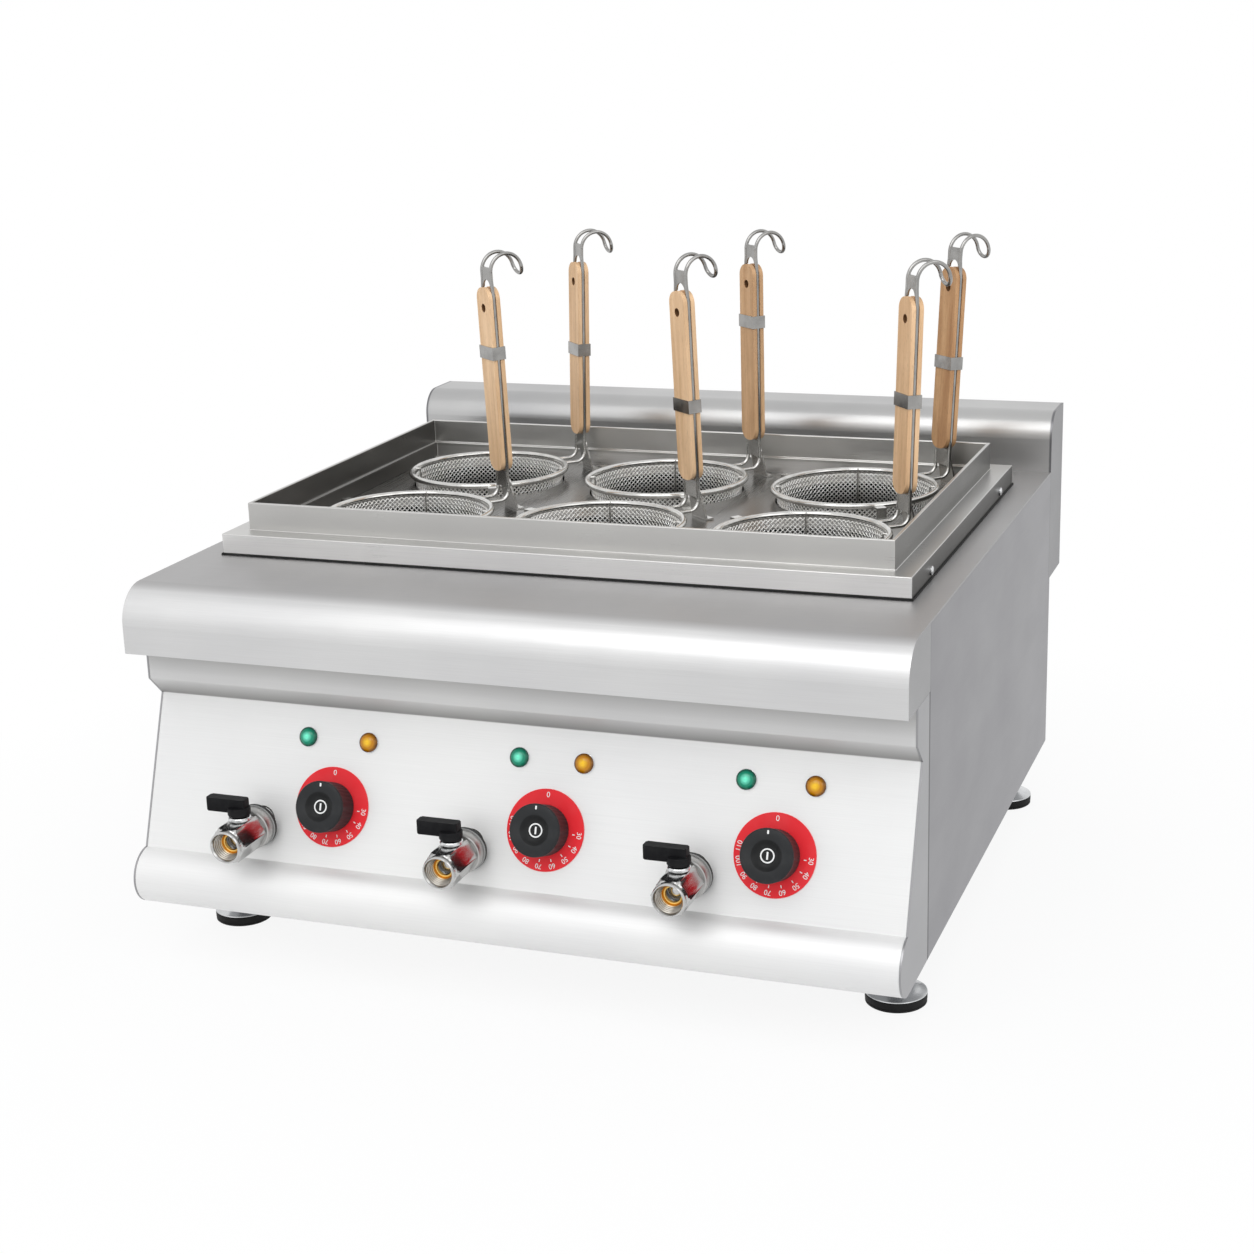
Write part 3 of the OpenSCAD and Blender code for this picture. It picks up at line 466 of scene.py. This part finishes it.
# painted shade: the wells are near-black steel, standing for the shade deep in the tank
shaded_well_steel = steel("shaded_well_steel", (0.014, 0.0135, 0.013), 0.5, ALONG_Y, brush=0.08, cloud=0.4)
rack_steel = steel("rack_steel", (0.28, 0.272, 0.258), 0.28, ALONG_Y, brush=0.05, cloud=0.25)
plain_steel = steel("plain_steel", (0.45, 0.455, 0.46), 0.4, ALONG_X, brush=0.04, cloud=0.15)
heater_metal = steel("heater_metal", (0.3, 0.3, 0.31), 0.4, ALONG_Y, brush=0.1, cloud=0.4)
panel_steel = panel_metal()
wire_steel = polished("wire_steel", (0.36, 0.355, 0.345), 0.14, smudge=0.2, low=RING_LIGHT_ZONE)
mesh_steel = woven_wire()
chrome = polished("chrome", (0.54, 0.54, 0.535), 0.12)
bright_steel = polished("bright_steel", (0.72, 0.73, 0.74), 0.16)
sleeve_grey = polished("sleeve_grey", (0.5, 0.495, 0.485), 0.36)
pipe_brass = polished("pipe_brass", (0.68, 0.47, 0.2), 0.2)
mouth_brass = polished("mouth_brass", (0.78, 0.5, 0.15), 0.24, low=MOUTH_ZONE)
copper = polished("copper", (0.7, 0.4, 0.25), 0.25)
foot_steel = polished("foot_steel", (0.62, 0.63, 0.64), 0.18)
knob_plastic = plastic("knob_plastic", (0.021, 0.022, 0.0235), 0.42, specular=0.18)
# painted shade: the dish's plastic is a darker copy of the knob's, and rougher too
dish_shade_plastic = plastic("dish_shade_plastic", (0.011, 0.0115, 0.012), 0.5, specular=0.2)
lever_plastic = plastic("lever_plastic", (0.008, 0.008, 0.009), 0.48, specular=0.08)
black_rubber = plastic("black_rubber", (0.006, 0.006, 0.006), 0.6, grain=600.0, relief=0.2, wear=0.12,
                       specular=0.2)
# painted light: the black rubber's faces towards the front are painted grey
grommet_rubber = plastic("grommet_rubber", (0.012, 0.012, 0.012), 0.55, grain=600.0,
                         front=(0.36, 0.36, 0.355))
# painted shade: dark brown for the walls of the holes through the grips
hole_shade_wood = plastic("hole_shade_wood", (0.16, 0.075, 0.03), 0.7, grain=500.0, relief=0.2, specular=0.1)
# painted shadow: near-black material of the strip at the foot of the collar's step
shadow_strip_black = plastic("shadow_strip_black", (0.012, 0.0118, 0.0115), 0.6, grain=600.0, relief=0.2, specular=0.15)
gland_plastic = plastic("gland_plastic", (0.03, 0.03, 0.03), 0.5)
white_plastic = plastic("white_plastic", (0.8, 0.8, 0.77), 0.45)
print_white = plastic("print_white", (0.86, 0.86, 0.85), 0.4)
dial_red = plastic("dial_red", (0.82, 0.026, 0.036), 0.36, grain=700.0, relief=0.05, wear=0.3,
                   specular=0.18)
# painted light and shade: each lens gets a painted glow at its middle and a dark painted rim
green_lens = lamp_lens("green_lens", (0.0, 0.05, 0.03), (0.002, 0.27, 0.155), (0.2, 1.0, 0.7))
amber_lens = lamp_lens("amber_lens", (0.1, 0.03, 0.0), (0.56, 0.22, 0.0), (1.0, 0.6, 0.008))

EDGE_ANGLE = math.radians(35)
WELD_M = 0.00001


def soften(obj, width, segments=2):
    """Small rounded edges with even shading, as modifiers."""
    bevel = obj.modifiers.new("edges", "BEVEL")
    bevel.width = width * MM
    bevel.segments = segments
    bevel.limit_method = "ANGLE"
    bevel.angle_limit = EDGE_ANGLE
    bevel.use_clamp_overlap = True
    obj.modifiers.new("normals", "WEIGHTED_NORMAL").keep_sharp = True


def dress(node, material, width=0.4):
    """Gives a CAD solid its material and softened edges."""
    obj = nodes[node]
    obj.data.materials.clear()
    obj.data.materials.append(material)
    weld = obj.modifiers.new("weld", "WELD")
    weld.merge_threshold = WELD_M
    soften(obj, width)


def piece(name, bm, place, material, body, sharp=35):
    """New piece from a mesh in millimetres at a place in the frame."""
    bmesh.ops.recalc_face_normals(bm, faces=bm.faces)
    bmesh.ops.scale(bm, vec=(MM, MM, MM), verts=bm.verts)
    mesh = bpy.data.meshes.new(name)
    bm.to_mesh(mesh)
    bm.free()
    mesh.shade_smooth()
    mesh.set_sharp_from_angle(angle=math.radians(sharp))
    mesh.materials.append(material)
    obj = bpy.data.objects.new(name, mesh)
    obj.matrix_world = place
    scene.collection.objects.link(obj)
    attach(obj, body)
    return obj


def at(x, y, z):
    """Place in millimetres."""
    return Matrix.Translation(Vector((x, y, z)) * MM)


def on_panel(x, down):
    """Place on the control panel: X right, Y up the slope, Z out of it."""
    spot = at(x, Y_PANEL - down * math.sin(LEAN), Z_PANEL - down * math.cos(LEAN))
    return spot @ Matrix.Rotation(math.pi / 2 - LEAN, 4, "X")


def on_valve(x):
    """Place on a valve's axis: Z runs from the mouth back into the body."""
    return at(x, Y_MOUTH, Z_VALVE) @ Matrix.Rotation(-math.pi / 2, 4, "X")


def turned(bm, profile, steps=72, shape=None, closed=False):
    """Profile of (radius, height) pairs turned round Z.

    shape(radius, height, angle) may change the radius.
    """
    rows = []
    for radius, height in profile:
        if radius == 0:
            rows.append([bm.verts.new((0, 0, height))])
            continue
        row = []
        for step in range(steps):
            angle = math.tau * step / steps
            reach = shape(radius, height, angle) if shape else radius
            row.append(bm.verts.new((reach * math.cos(angle), reach * math.sin(angle), height)))
        rows.append(row)
    pairs = list(zip(rows, rows[1:]))
    if closed:
        pairs.append((rows[-1], rows[0]))
    for low, high in pairs:
        for step in range(steps):
            after = (step + 1) % steps
            corners = (low[step % len(low)], low[after % len(low)],
                       high[after % len(high)], high[step % len(high)])
            corners = tuple(dict.fromkeys(corners))
            if len(corners) > 2:
                bm.faces.new(corners)
    return bm


def drawn_out(bm, outline, low, high):
    """Outline in X and Y drawn out between two heights."""
    bottom = [bm.verts.new((x, y, low)) for x, y in outline]
    top = [bm.verts.new((x, y, high)) for x, y in outline]
    bm.faces.new(bottom[::-1])
    bm.faces.new(top)
    for n in range(len(outline)):
        m = (n + 1) % len(outline)
        bm.faces.new((bottom[n], bottom[m], top[m], top[n]))
    return bm


def rounded_box(width, depth, radius, steps=5):
    """Rectangle with rounded corners, round the origin."""
    points = []
    for quarter, (sx, sy) in enumerate(((1, 1), (-1, 1), (-1, -1), (1, -1))):
        for step in range(steps + 1):
            angle = math.pi / 2 * (quarter + step / steps)
            points.append((sx * (width / 2 - radius) + radius * math.cos(angle),
                           sy * (depth / 2 - radius) + radius * math.sin(angle)))
    return points


def join(bm, other, place):
    """Adds a mesh to another at a place, and frees it."""
    mesh = bpy.data.meshes.new("joined")
    other.to_mesh(mesh)
    other.free()
    mesh.transform(place)
    bm.from_mesh(mesh)
    bpy.data.meshes.remove(mesh)


def lettering(bm, words, size, place, height):
    """Flat raised lettering added to a mesh."""
    curve = bpy.data.curves.new("words", "FONT")
    curve.body = words
    curve.size = size
    curve.align_x = "CENTER"
    curve.align_y = "CENTER"
    curve.extrude = height / 2
    holder = bpy.data.objects.new("words", curve)
    mesh = holder.to_mesh()
    mesh.transform(place)
    bm.from_mesh(mesh)
    holder.to_mesh_clear()
    bpy.data.objects.remove(holder)
    bpy.data.curves.remove(curve)


# Dial's scale: numbers run clockwise from a first turn in degrees
DIAL_NUMBERS = tuple(range(30, 120, 10))
DIAL_FIRST = 93
DIAL_STEP = 23.2
NUMBER_SIZE = 5.2
NUMBER_R = 26.3
OFF_SIZE = 5.6
OFF_R = 25.6
TICK = ((-0.35, 21.2), (0.35, 21.2), (0.35, 23.2), (-0.35, 23.2))
PRINT_LOW = 1.0
PRINT_MIDDLE = 1.03
PRINT_HIGH = 1.06
PRINT_THICK = 0.06


def dial_print(x, name):
    """Scale of a dial: numbers, ticks and the mark for off."""
    bm = bmesh.new()
    for n, number in enumerate(DIAL_NUMBERS):
        spin = Matrix.Rotation(-math.radians(DIAL_FIRST + DIAL_STEP * n), 4, "Z")
        place = spin @ Matrix.Translation((0, NUMBER_R, PRINT_MIDDLE))
        lettering(bm, str(number), NUMBER_SIZE, place, PRINT_THICK)
        join(bm, drawn_out(bmesh.new(), TICK, PRINT_LOW, PRINT_HIGH), spin)
    lettering(bm, "0", OFF_SIZE, Matrix.Translation((0, OFF_R, PRINT_MIDDLE)), PRINT_THICK)
    piece(name, bm, on_panel(x, DIAL_AT), print_white, "cabinet", 30)


KNOB_LOW = 1.3
KNOB_TOP = 22.8
DISH = KNOB_TOP - 3.4
RIBS = 36
RIB_DEPTH = 0.3
RIB_LEAST_R = 17
INDEX_R = 16.4


def knob_ribs(radius, height, angle):
    """Radius of a knob with fine grooves down its side."""
    grooved = KNOB_LOW + 1.5 < height < KNOB_TOP - 2.2 and radius > RIB_LEAST_R
    deep = RIB_DEPTH if grooved else 0.0
    return radius - deep * (0.5 + 0.5 * math.cos(RIBS * angle)) ** 3


def knob(x, side):
    """Ribbed knob with a dished face, a white ring and bar in the dish and a white index."""
    place = on_panel(x, DIAL_AT)
    body = f"knob_{side}"
    grip = ((0, KNOB_LOW), (18.1, KNOB_LOW), (18.5, KNOB_LOW + 0.5), (18.55, KNOB_LOW + 1.4),
            (18.6, KNOB_LOW + 2.2), (19.2, KNOB_TOP - 3.2), (19.3, KNOB_TOP - 2), (19.25, KNOB_TOP - 1),
            (18.8, KNOB_TOP - 0.35), (18.1, KNOB_TOP), (11.6, KNOB_TOP), (11.0, KNOB_TOP - 0.15),
            (10.2, KNOB_TOP - 0.7), (9.0, KNOB_TOP - 1.9), (7.6, KNOB_TOP - 2.9), (6.2, DISH), (0, DISH))
    bm = turned(bmesh.new(), grip, 180, knob_ribs)
    spindle = ((0, -14), (2.6, -14), (3, -13.6), (3, KNOB_LOW + 2), (0, KNOB_LOW + 2))
    turned(bm, spindle, 32)
    obj = piece(f"knob_grip_{side}", bm, place, knob_plastic, body, 40)
    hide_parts(f"knob_{side}")
    # painted shade: a thin dark skin over the knob's dish
    hollow = ((11.0, -0.15), (10.2, -0.7), (9.0, -1.9), (7.6, -2.9),
              (6.2, DISH - KNOB_TOP), (0, DISH - KNOB_TOP))
    skin = [(radius, KNOB_TOP + drop + 0.04) for radius, drop in hollow]
    skin += [(radius, height - 0.2) for radius, height in skin[::-1]]
    dish = turned(bmesh.new(), skin, 96)
    piece(f"knob_dish_{side}", dish, place, dish_shade_plastic, body, 40)
    ring = ((4.2, DISH), (5.2, DISH), (5.2, DISH + 0.2), (4.2, DISH + 0.2))
    marks = turned(bmesh.new(), ring, 48, closed=True)
    drawn_out(marks, rounded_box(1.3, 5.4, 0.3), DISH, DISH + 0.22)
    index = drawn_out(bmesh.new(), rounded_box(1.3, 2.6, 0.4), KNOB_TOP - 0.1, KNOB_TOP + 0.02)
    join(marks, index, Matrix.Translation((0, INDEX_R, 0)))
    piece(f"knob_marks_{side}", marks, place, print_white, body)


def lens(x, name, material, node):
    """Domed lens with a moulded step round its edge, which covers most of the bezel."""
    profile = ((0, 0.5), (6.45, 0.5), (6.45, 1.25), (7.3, 1.25), (7.4, 1.4), (7.35, 1.75), (6.9, 2.1),
               (6.3, 2.35), (6.0, 2.75), (5.2, 3.45), (4.0, 4.0), (2.6, 4.32), (1.3, 4.46), (0, 4.5))
    bm = turned(bmesh.new(), profile, 48)
    obj = piece(name, bm, on_panel(x, LAMP_AT), material, "cabinet", 50)
    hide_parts(node)


# Hexagon of a valve's body, and where along the body it starts and ends
HEX_FLATS = 25.5
HEX_LEAST_R = 11.6
HEX_FROM = 1.4
HEX_TO = 38
SEAT_TURNS = 5
SEAT_PITCH = 1.7
SEAT_TAPER = 0.42
SEAT_DEPTH = 0.5


def hexagon(radius, height, angle):
    """Radius of a valve's body, cut to a hexagon between two heights."""
    if radius < HEX_LEAST_R or height > HEX_TO or height < HEX_FROM:
        return radius
    across = HEX_FLATS / 2 / math.cos(angle % (math.pi / 3) - math.pi / 6)
    return min(radius, across)


def valve(x, side):
    """Ball valve: hexagonal body with the stem's boss, a sleeve, and a threaded brass seat in the mouth."""
    place = on_valve(x)
    body = ((10.2, 1.4), (11.0, 0.0), (11.7, 0.0), (12.3, 0.8), (12.5, 1.6), (12.6, 3.2), (13.4, 4.2),
            (14.72, 6.0), (14.72, 36.0), (13.6, 37.6), (12.8, 38.0), (10.5, 38.0), (10.5, 76.0),
            (6.5, 76.0), (6.5, 13.2), (10.2, 13.2))
    bm = turned(bmesh.new(), body, 120, hexagon, True)
    boss = ((3.6, 10.5), (6.5, 10.5), (6.5, 12.9), (6.2, 13.25), (3.6, 13.25))
    upright = Matrix.Translation((0, 0, STEM_BACK)) @ Matrix.Rotation(math.pi / 2, 4, "X")
    join(bm, turned(bmesh.new(), boss, 40, closed=True), upright)
    obj = piece(f"valve_shell_{side}", bm, place, chrome, "cabinet", 25)
    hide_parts(f"valve_body_{side}")
    sleeve = ((10.55, 38.1), (14.6, 38.1), (15.2, 38.5), (15.5, 39.2), (15.5, 45.8), (15.2, 46.5),
              (10.55, 46.5))
    bm = turned(bmesh.new(), sleeve, 72, closed=True)
    piece(f"valve_sleeve_{side}", bm, place, sleeve_grey, "cabinet", 30)
    seat = [(10.15, 1.6), (10.15, 13.1), (5.6, 13.1), (5.6, 11.6), (5.9, 11.1), (6.6, 10.9), (7.2, 11.1),
            (7.4, 11.6), (7.7, 11.2)]
    for n in range(SEAT_TURNS):
        low = 10.0 - SEAT_PITCH * n
        crest = 7.9 + SEAT_TAPER * n
        root = crest + SEAT_DEPTH
        seat += [(crest, low), (crest, low - 0.4), (root, low - 0.85), (root, low - 1.25)]
    bm = turned(bmesh.new(), seat, 72, closed=True)
    piece(f"valve_seat_{side}", bm, place, mouth_brass, "cabinet", 30)


def lever(x, side):
    """Round nut on a valve's stem, and the black lever that turns over it."""
    place = at(x, Y_MOUTH + STEM_BACK, Z_VALVE + LEVER_UP)
    nut = ((5.4, 0.0), (8.1, 0.0), (8.5, 0.4), (8.5, 1.9), (7.9, 2.6), (5.4, 2.6))
    bm = turned(bmesh.new(), nut, 60, closed=True)
    piece(f"stem_nut_{side}", bm, place, bright_steel, "cabinet", 30)
    hub = ((0, 0), (5.2, 0), (5.2, 3.9), (8.0, 3.9), (8.6, 4.4), (8.6, 9.4), (8.0, 10.0), (0, 10.0))
    bm = turned(bmesh.new(), hub, 56)
    arm = drawn_out(bmesh.new(), rounded_box(31.8, 9.0, 1.2), 6.0, 16.5)
    level = [edge for edge in arm.edges if abs(edge.verts[0].co.z - edge.verts[1].co.z) < 0.1]
    bmesh.ops.bevel(arm, geom=level, offset=0.7, segments=3, affect="EDGES")
    join(bm, arm, Matrix.Translation((-9.1, 0, 0)))
    obj = piece(f"lever_arm_{side}", bm, place, lever_plastic, f"drain_lever_{side}", 40)
    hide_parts(f"valve_lever_{side}")


FOOT_TURNS = 20
FOOT_PITCH = 1.25


def foot(corner):
    """Levelling foot: pressed disc with its neck and threaded stem, and a rubber sole."""
    node = f"foot_{corner}"
    low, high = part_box(f"foot_{corner}")
    place = Matrix.Translation(((low[0] + high[0]) / 2, (low[1] + high[1]) / 2, 0))
    disc = [(0, 7.5), (22.6, 7.5), (23.0, 8.0), (22.7, 8.6), (20.5, 9.3), (17.0, 10.4), (14.2, 11.9),
            (12.0, 12.6), (10.0, 13.2), (9.6, 14.0), (9.6, 46.5), (9.1, 47.6), (4.95, 47.6)]
    for n in range(FOOT_TURNS):
        disc += [(4.95, 48.2 + FOOT_PITCH * n), (4.3, 48.85 + FOOT_PITCH * n)]
    disc.append((0, 73.8))
    bm = turned(bmesh.new(), disc, 64)
    obj = piece(f"foot_disc_{corner}", bm, place, foot_steel, node, 40)
    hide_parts(f"foot_{corner}")
    sole = ((0, 0), (22.0, 0), (22.7, 0.6), (22.7, 1.9), (22.4, 2.1), (22.4, 2.5), (22.8, 2.7),
            (22.9, 6.9), (22.4, 7.45), (0, 7.45))
    bm = turned(bmesh.new(), sole, 64)
    obj = piece(f"foot_sole_{corner}", bm, place, black_rubber, node, 40)
    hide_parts(f"foot_{corner}")


EYELET = ((3.2, -4.8), (3.46, -4.8), (3.46, 4.8), (3.2, 4.8))


def eyelet(name, spot, turn, lean):
    """Dark brown wall of the hole through a grip, painted shade inside the hole."""
    wall = turned(bmesh.new(), EYELET, 32, closed=True)
    place = at(*spot, Z_RING) @ Matrix.Rotation(math.radians(turn), 4, "Z")
    place = place @ at(HANDLE_R - ROD_BEND, 0, ROD_BEND) @ Matrix.Rotation(math.radians(lean), 4, "Y")
    place = place @ at(ROD_BEND, 0, HOLE_UP) @ Matrix.Rotation(math.pi / 2, 4, "Y")
    piece(f"grip_eyelet_{name}", wall, place, hole_shade_wood, f"basket_{name}")


# Section of the dark strip, a painted shadow at the foot of the collar's step: how far it stands proud of
# the collar, and its height over the deck
STRIP_SECTION = ((-0.6, 0.02), (1.1, 0.02), (0.9, 1.5), (-0.6, 1.9))


def collar_seal():
    """Dark strip round the foot of the collar's step, a painted shadow in the corner with the deck."""
    low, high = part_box("tank_collar")
    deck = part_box("worktop")[1][2] / MM
    bm = bmesh.new()
    rows = []
    for proud, height in STRIP_SECTION:
        left = low[0] / MM - proud
        front = low[1] / MM - proud
        right = high[0] / MM + proud
        back = high[1] / MM + proud
        corners = ((left, front), (right, front), (right, back), (left, back))
        rows.append([bm.verts.new((x, y, deck + height)) for x, y in corners])
    for first, second in zip(rows, rows[1:] + rows[:1]):
        for n in range(4):
            m = (n + 1) % 4
            bm.faces.new((first[n], first[m], second[m], second[n]))
    piece("collar_seal", bm, Matrix(), shadow_strip_black, "cabinet")


WIRE_R = 0.5
WEAVE = 0.35
STRANDS = 100
TWIST = 2.25
BOTTOM_PITCH = 3.1
CUP_LOW = -139.2
CUP_HIGH = -0.9
CUP_R_LOW = 59.3
CUP_R_HIGH = 64.0
BOTTOM_RIM = ((58.6, -139.6), (60.0, -139.6), (60.2, -136.6), (59.2, -136.6))


def wire(bm, points, ups):
    """Thin four-sided wire, closed at its ends, through a list of points."""
    rows = []
    for n, point in enumerate(points):
        ahead = (points[min(n + 1, len(points) - 1)] - points[max(n - 1, 0)]).normalized()
        up = ups[n]
        across = ahead.cross(up).normalized()
        rows.append([bm.verts.new(point + WIRE_R * (up * math.cos(a) + across * math.sin(a)))
                     for a in (0, math.pi / 2, math.pi, 3 * math.pi / 2)])
    for low, high in zip(rows, rows[1:]):
        for n in range(4):
            bm.faces.new((low[n], low[(n + 1) % 4], high[(n + 1) % 4], high[n]))
    bm.faces.new(rows[0][::-1])
    bm.faces.new(rows[-1])


def cup_wall(bm):
    """Wall of a cup: spirals of wire that cross over and under each other."""
    count = int(STRANDS * TWIST / math.pi)
    for way in (1, -1):
        for strand in range(STRANDS):
            points, ups = [], []
            for n in range(count + 1):
                share = math.pi * n / (STRANDS * TWIST)
                angle = math.tau * strand / STRANDS + way * TWIST * share
                up = Vector((math.cos(angle), math.sin(angle), 0))
                radius = CUP_R_LOW + (CUP_R_HIGH - CUP_R_LOW) * share + way * (-1) ** n * WEAVE
                points.append(up * radius + Vector((0, 0, CUP_LOW + (CUP_HIGH - CUP_LOW) * share)))
                ups.append(up)
            wire(bm, points, ups)


def cup_bottom(bm):
    """Bottom of a cup: a square weave inside a folded rim."""
    lines = int(CUP_R_LOW / BOTTOM_PITCH)
    for way in (0, 1):
        for line in range(-lines, lines + 1):
            aside = line * BOTTOM_PITCH
            reach = int(math.sqrt(CUP_R_LOW ** 2 - aside ** 2) / BOTTOM_PITCH)
            if reach < 1:
                continue
            points = []
            for n in range(-reach, reach + 1):
                lift = WEAVE * (-1) ** (line + n + way)
                spot = (n * BOTTOM_PITCH, aside) if way else (aside, n * BOTTOM_PITCH)
                points.append(Vector((*spot, CUP_LOW + lift)))
            wire(bm, points, [Vector((0, 0, 1))] * len(points))
    turned(bm, BOTTOM_RIM, 96, closed=True)


def cups():
    """Six cups of woven wire that share one mesh."""
    shared = None
    for name, spot in zip(BASKETS, CUP_PLACES):
        place = at(*spot, Z_RING)
        body = f"basket_{name}"
        if shared is None:
            bm = bmesh.new()
            cup_wall(bm)
            cup_bottom(bm)
            obj = piece(f"woven_cup_{name}", bm, place, mesh_steel, body, 100)
            shared = obj.data
        else:
            obj = bpy.data.objects.new(f"woven_cup_{name}", shared)
            obj.matrix_world = place
            scene.collection.objects.link(obj)
            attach(obj, body)
        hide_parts(f"basket_cup_{name}")


def floor():
    """Pale floor that shows white to the camera and keeps a soft shadow."""
    bm = bmesh.new()
    bmesh.ops.create_grid(bm, x_segments=8, y_segments=8, size=FLOOR_HALF)
    mesh = bpy.data.meshes.new("floor")
    bm.to_mesh(mesh)
    bm.free()
    material = bpy.data.materials.new("floor_white")
    material.use_nodes = True
    tree = material.node_tree
    tree.nodes.clear()
    matt = tree.nodes.new("ShaderNodeBsdfDiffuse")
    matt.inputs["Color"].default_value = FLOOR_TONE
    glow = tree.nodes.new("ShaderNodeEmission")
    glow.inputs["Color"].default_value = WHITE
    glow.inputs["Strength"].default_value = 1.0
    length = tree.nodes.new("ShaderNodeVectorMath")
    length.operation = "LENGTH"
    link(tree, tree.nodes.new("ShaderNodeTexCoord").outputs["Object"], length.inputs[0])
    whiter = remap(tree, length.outputs["Value"], FLOOR_NEAR, FLOOR_FAR, FLOOR_NEAR_GLOW, 1.0)
    share = tree.nodes.new("ShaderNodeMath")
    share.operation = "MULTIPLY"
    mix = tree.nodes.new("ShaderNodeMixShader")
    out = tree.nodes.new("ShaderNodeOutputMaterial")
    link(tree, seen_by_rays(tree), share.inputs[0],
         whiter, share.inputs[1],
         share.outputs[0], mix.inputs["Fac"],
         matt.outputs[0], mix.inputs[1],
         glow.outputs[0], mix.inputs[2],
         mix.outputs[0], out.inputs["Surface"])
    mesh.materials.append(material)
    obj = bpy.data.objects.new("floor", mesh)
    scene.collection.objects.link(obj)


dress("worktop", deck_steel)
for side in ("left", "right"):
    dress(f"{side}_side_panel", shaded_side_steel)
    dress(f"{side}_cheek", shaded_cheek_steel)
dress("splashback", back_steel)
dress("tank_collar", collar_steel, 0.7)
dress("control_panel", panel_steel)
dress("rack_plate", rack_steel)
for node in ("base_pan", "rear_panel"):
    dress(node, plain_steel)
dress("heaters", heater_metal)
for node in ("thermostats", "terminal_block"):
    dress(node, white_plastic)
dress("sensor_bulbs", copper)
dress("drain_pipes", pipe_brass)
dress("dial_plates", dial_red, 0.3)
dress("lamp_holders", bright_steel, 0.3)
dress("valve_grommets", grommet_rubber)
dress("cable_gland", gland_plastic)
dress("collar_screws", bright_steel)
for side in SIDES:
    dress(f"well_{side}", shaded_well_steel)
    dress(f"valve_ball_{side}", chrome, 0.2)

# Tones of the wood, and how far each grip goes from the light pair to the dark pair
GRIP_LIGHT = (0.98, 0.68, 0.42)
GRIP_DARK = (0.72, 0.44, 0.225)
GRIP_RED = (0.42, 0.2, 0.08)
GRIP_TINTS = (0.0, 0.0, 0.3, 0.15, 0.7, 1.1)
GRIP_EDGE = 1.6
for n, (name, tint) in enumerate(zip(BASKETS, GRIP_TINTS)):
    light = between(GRIP_LIGHT, GRIP_DARK, tint)
    dark = between(GRIP_DARK, GRIP_RED, tint)
    dress(f"basket_grip_{name}", beech(f"beech_{name}", light, dark, 3.7 * n + 1.3), GRIP_EDGE)
    dress(f"basket_frame_{name}", wire_steel, 0.3)

for column, side in zip(COLUMNS, SIDES):
    dial_x = column + SPLIT
    valve_x = column - SPLIT
    knob(dial_x, side)
    dial_print(dial_x, f"dial_scale_{side}")
    lens(dial_x - LAMP_HALF_GAP, f"lamp_green_{side}", green_lens, "green_lenses")
    lens(dial_x + LAMP_HALF_GAP, f"lamp_amber_{side}", amber_lens, "amber_lenses")
    valve(valve_x, side)
    lever(valve_x, side)
for corner in CORNERS:
    foot(corner)
for name, spot, turn, lean in zip(BASKETS, CUP_PLACES, HANDLE_TURNS, HANDLE_LEANS):
    eyelet(name, spot, turn, lean)
collar_seal()
cups()

set_camera()
set_world()
floor()
area_light("key", spot=(0.0, -1.6, 2.2), target=(0, 0, 0.25), size=1.8, power=19)
area_light("front", spot=(-0.9, -2.3, 0.85), target=(0, -0.2, 0.2), size=1.8, power=3)
area_light("fill", spot=(1.8, -1.0, 1.6), target=(0, 0, 0.25), size=1.4, power=6)
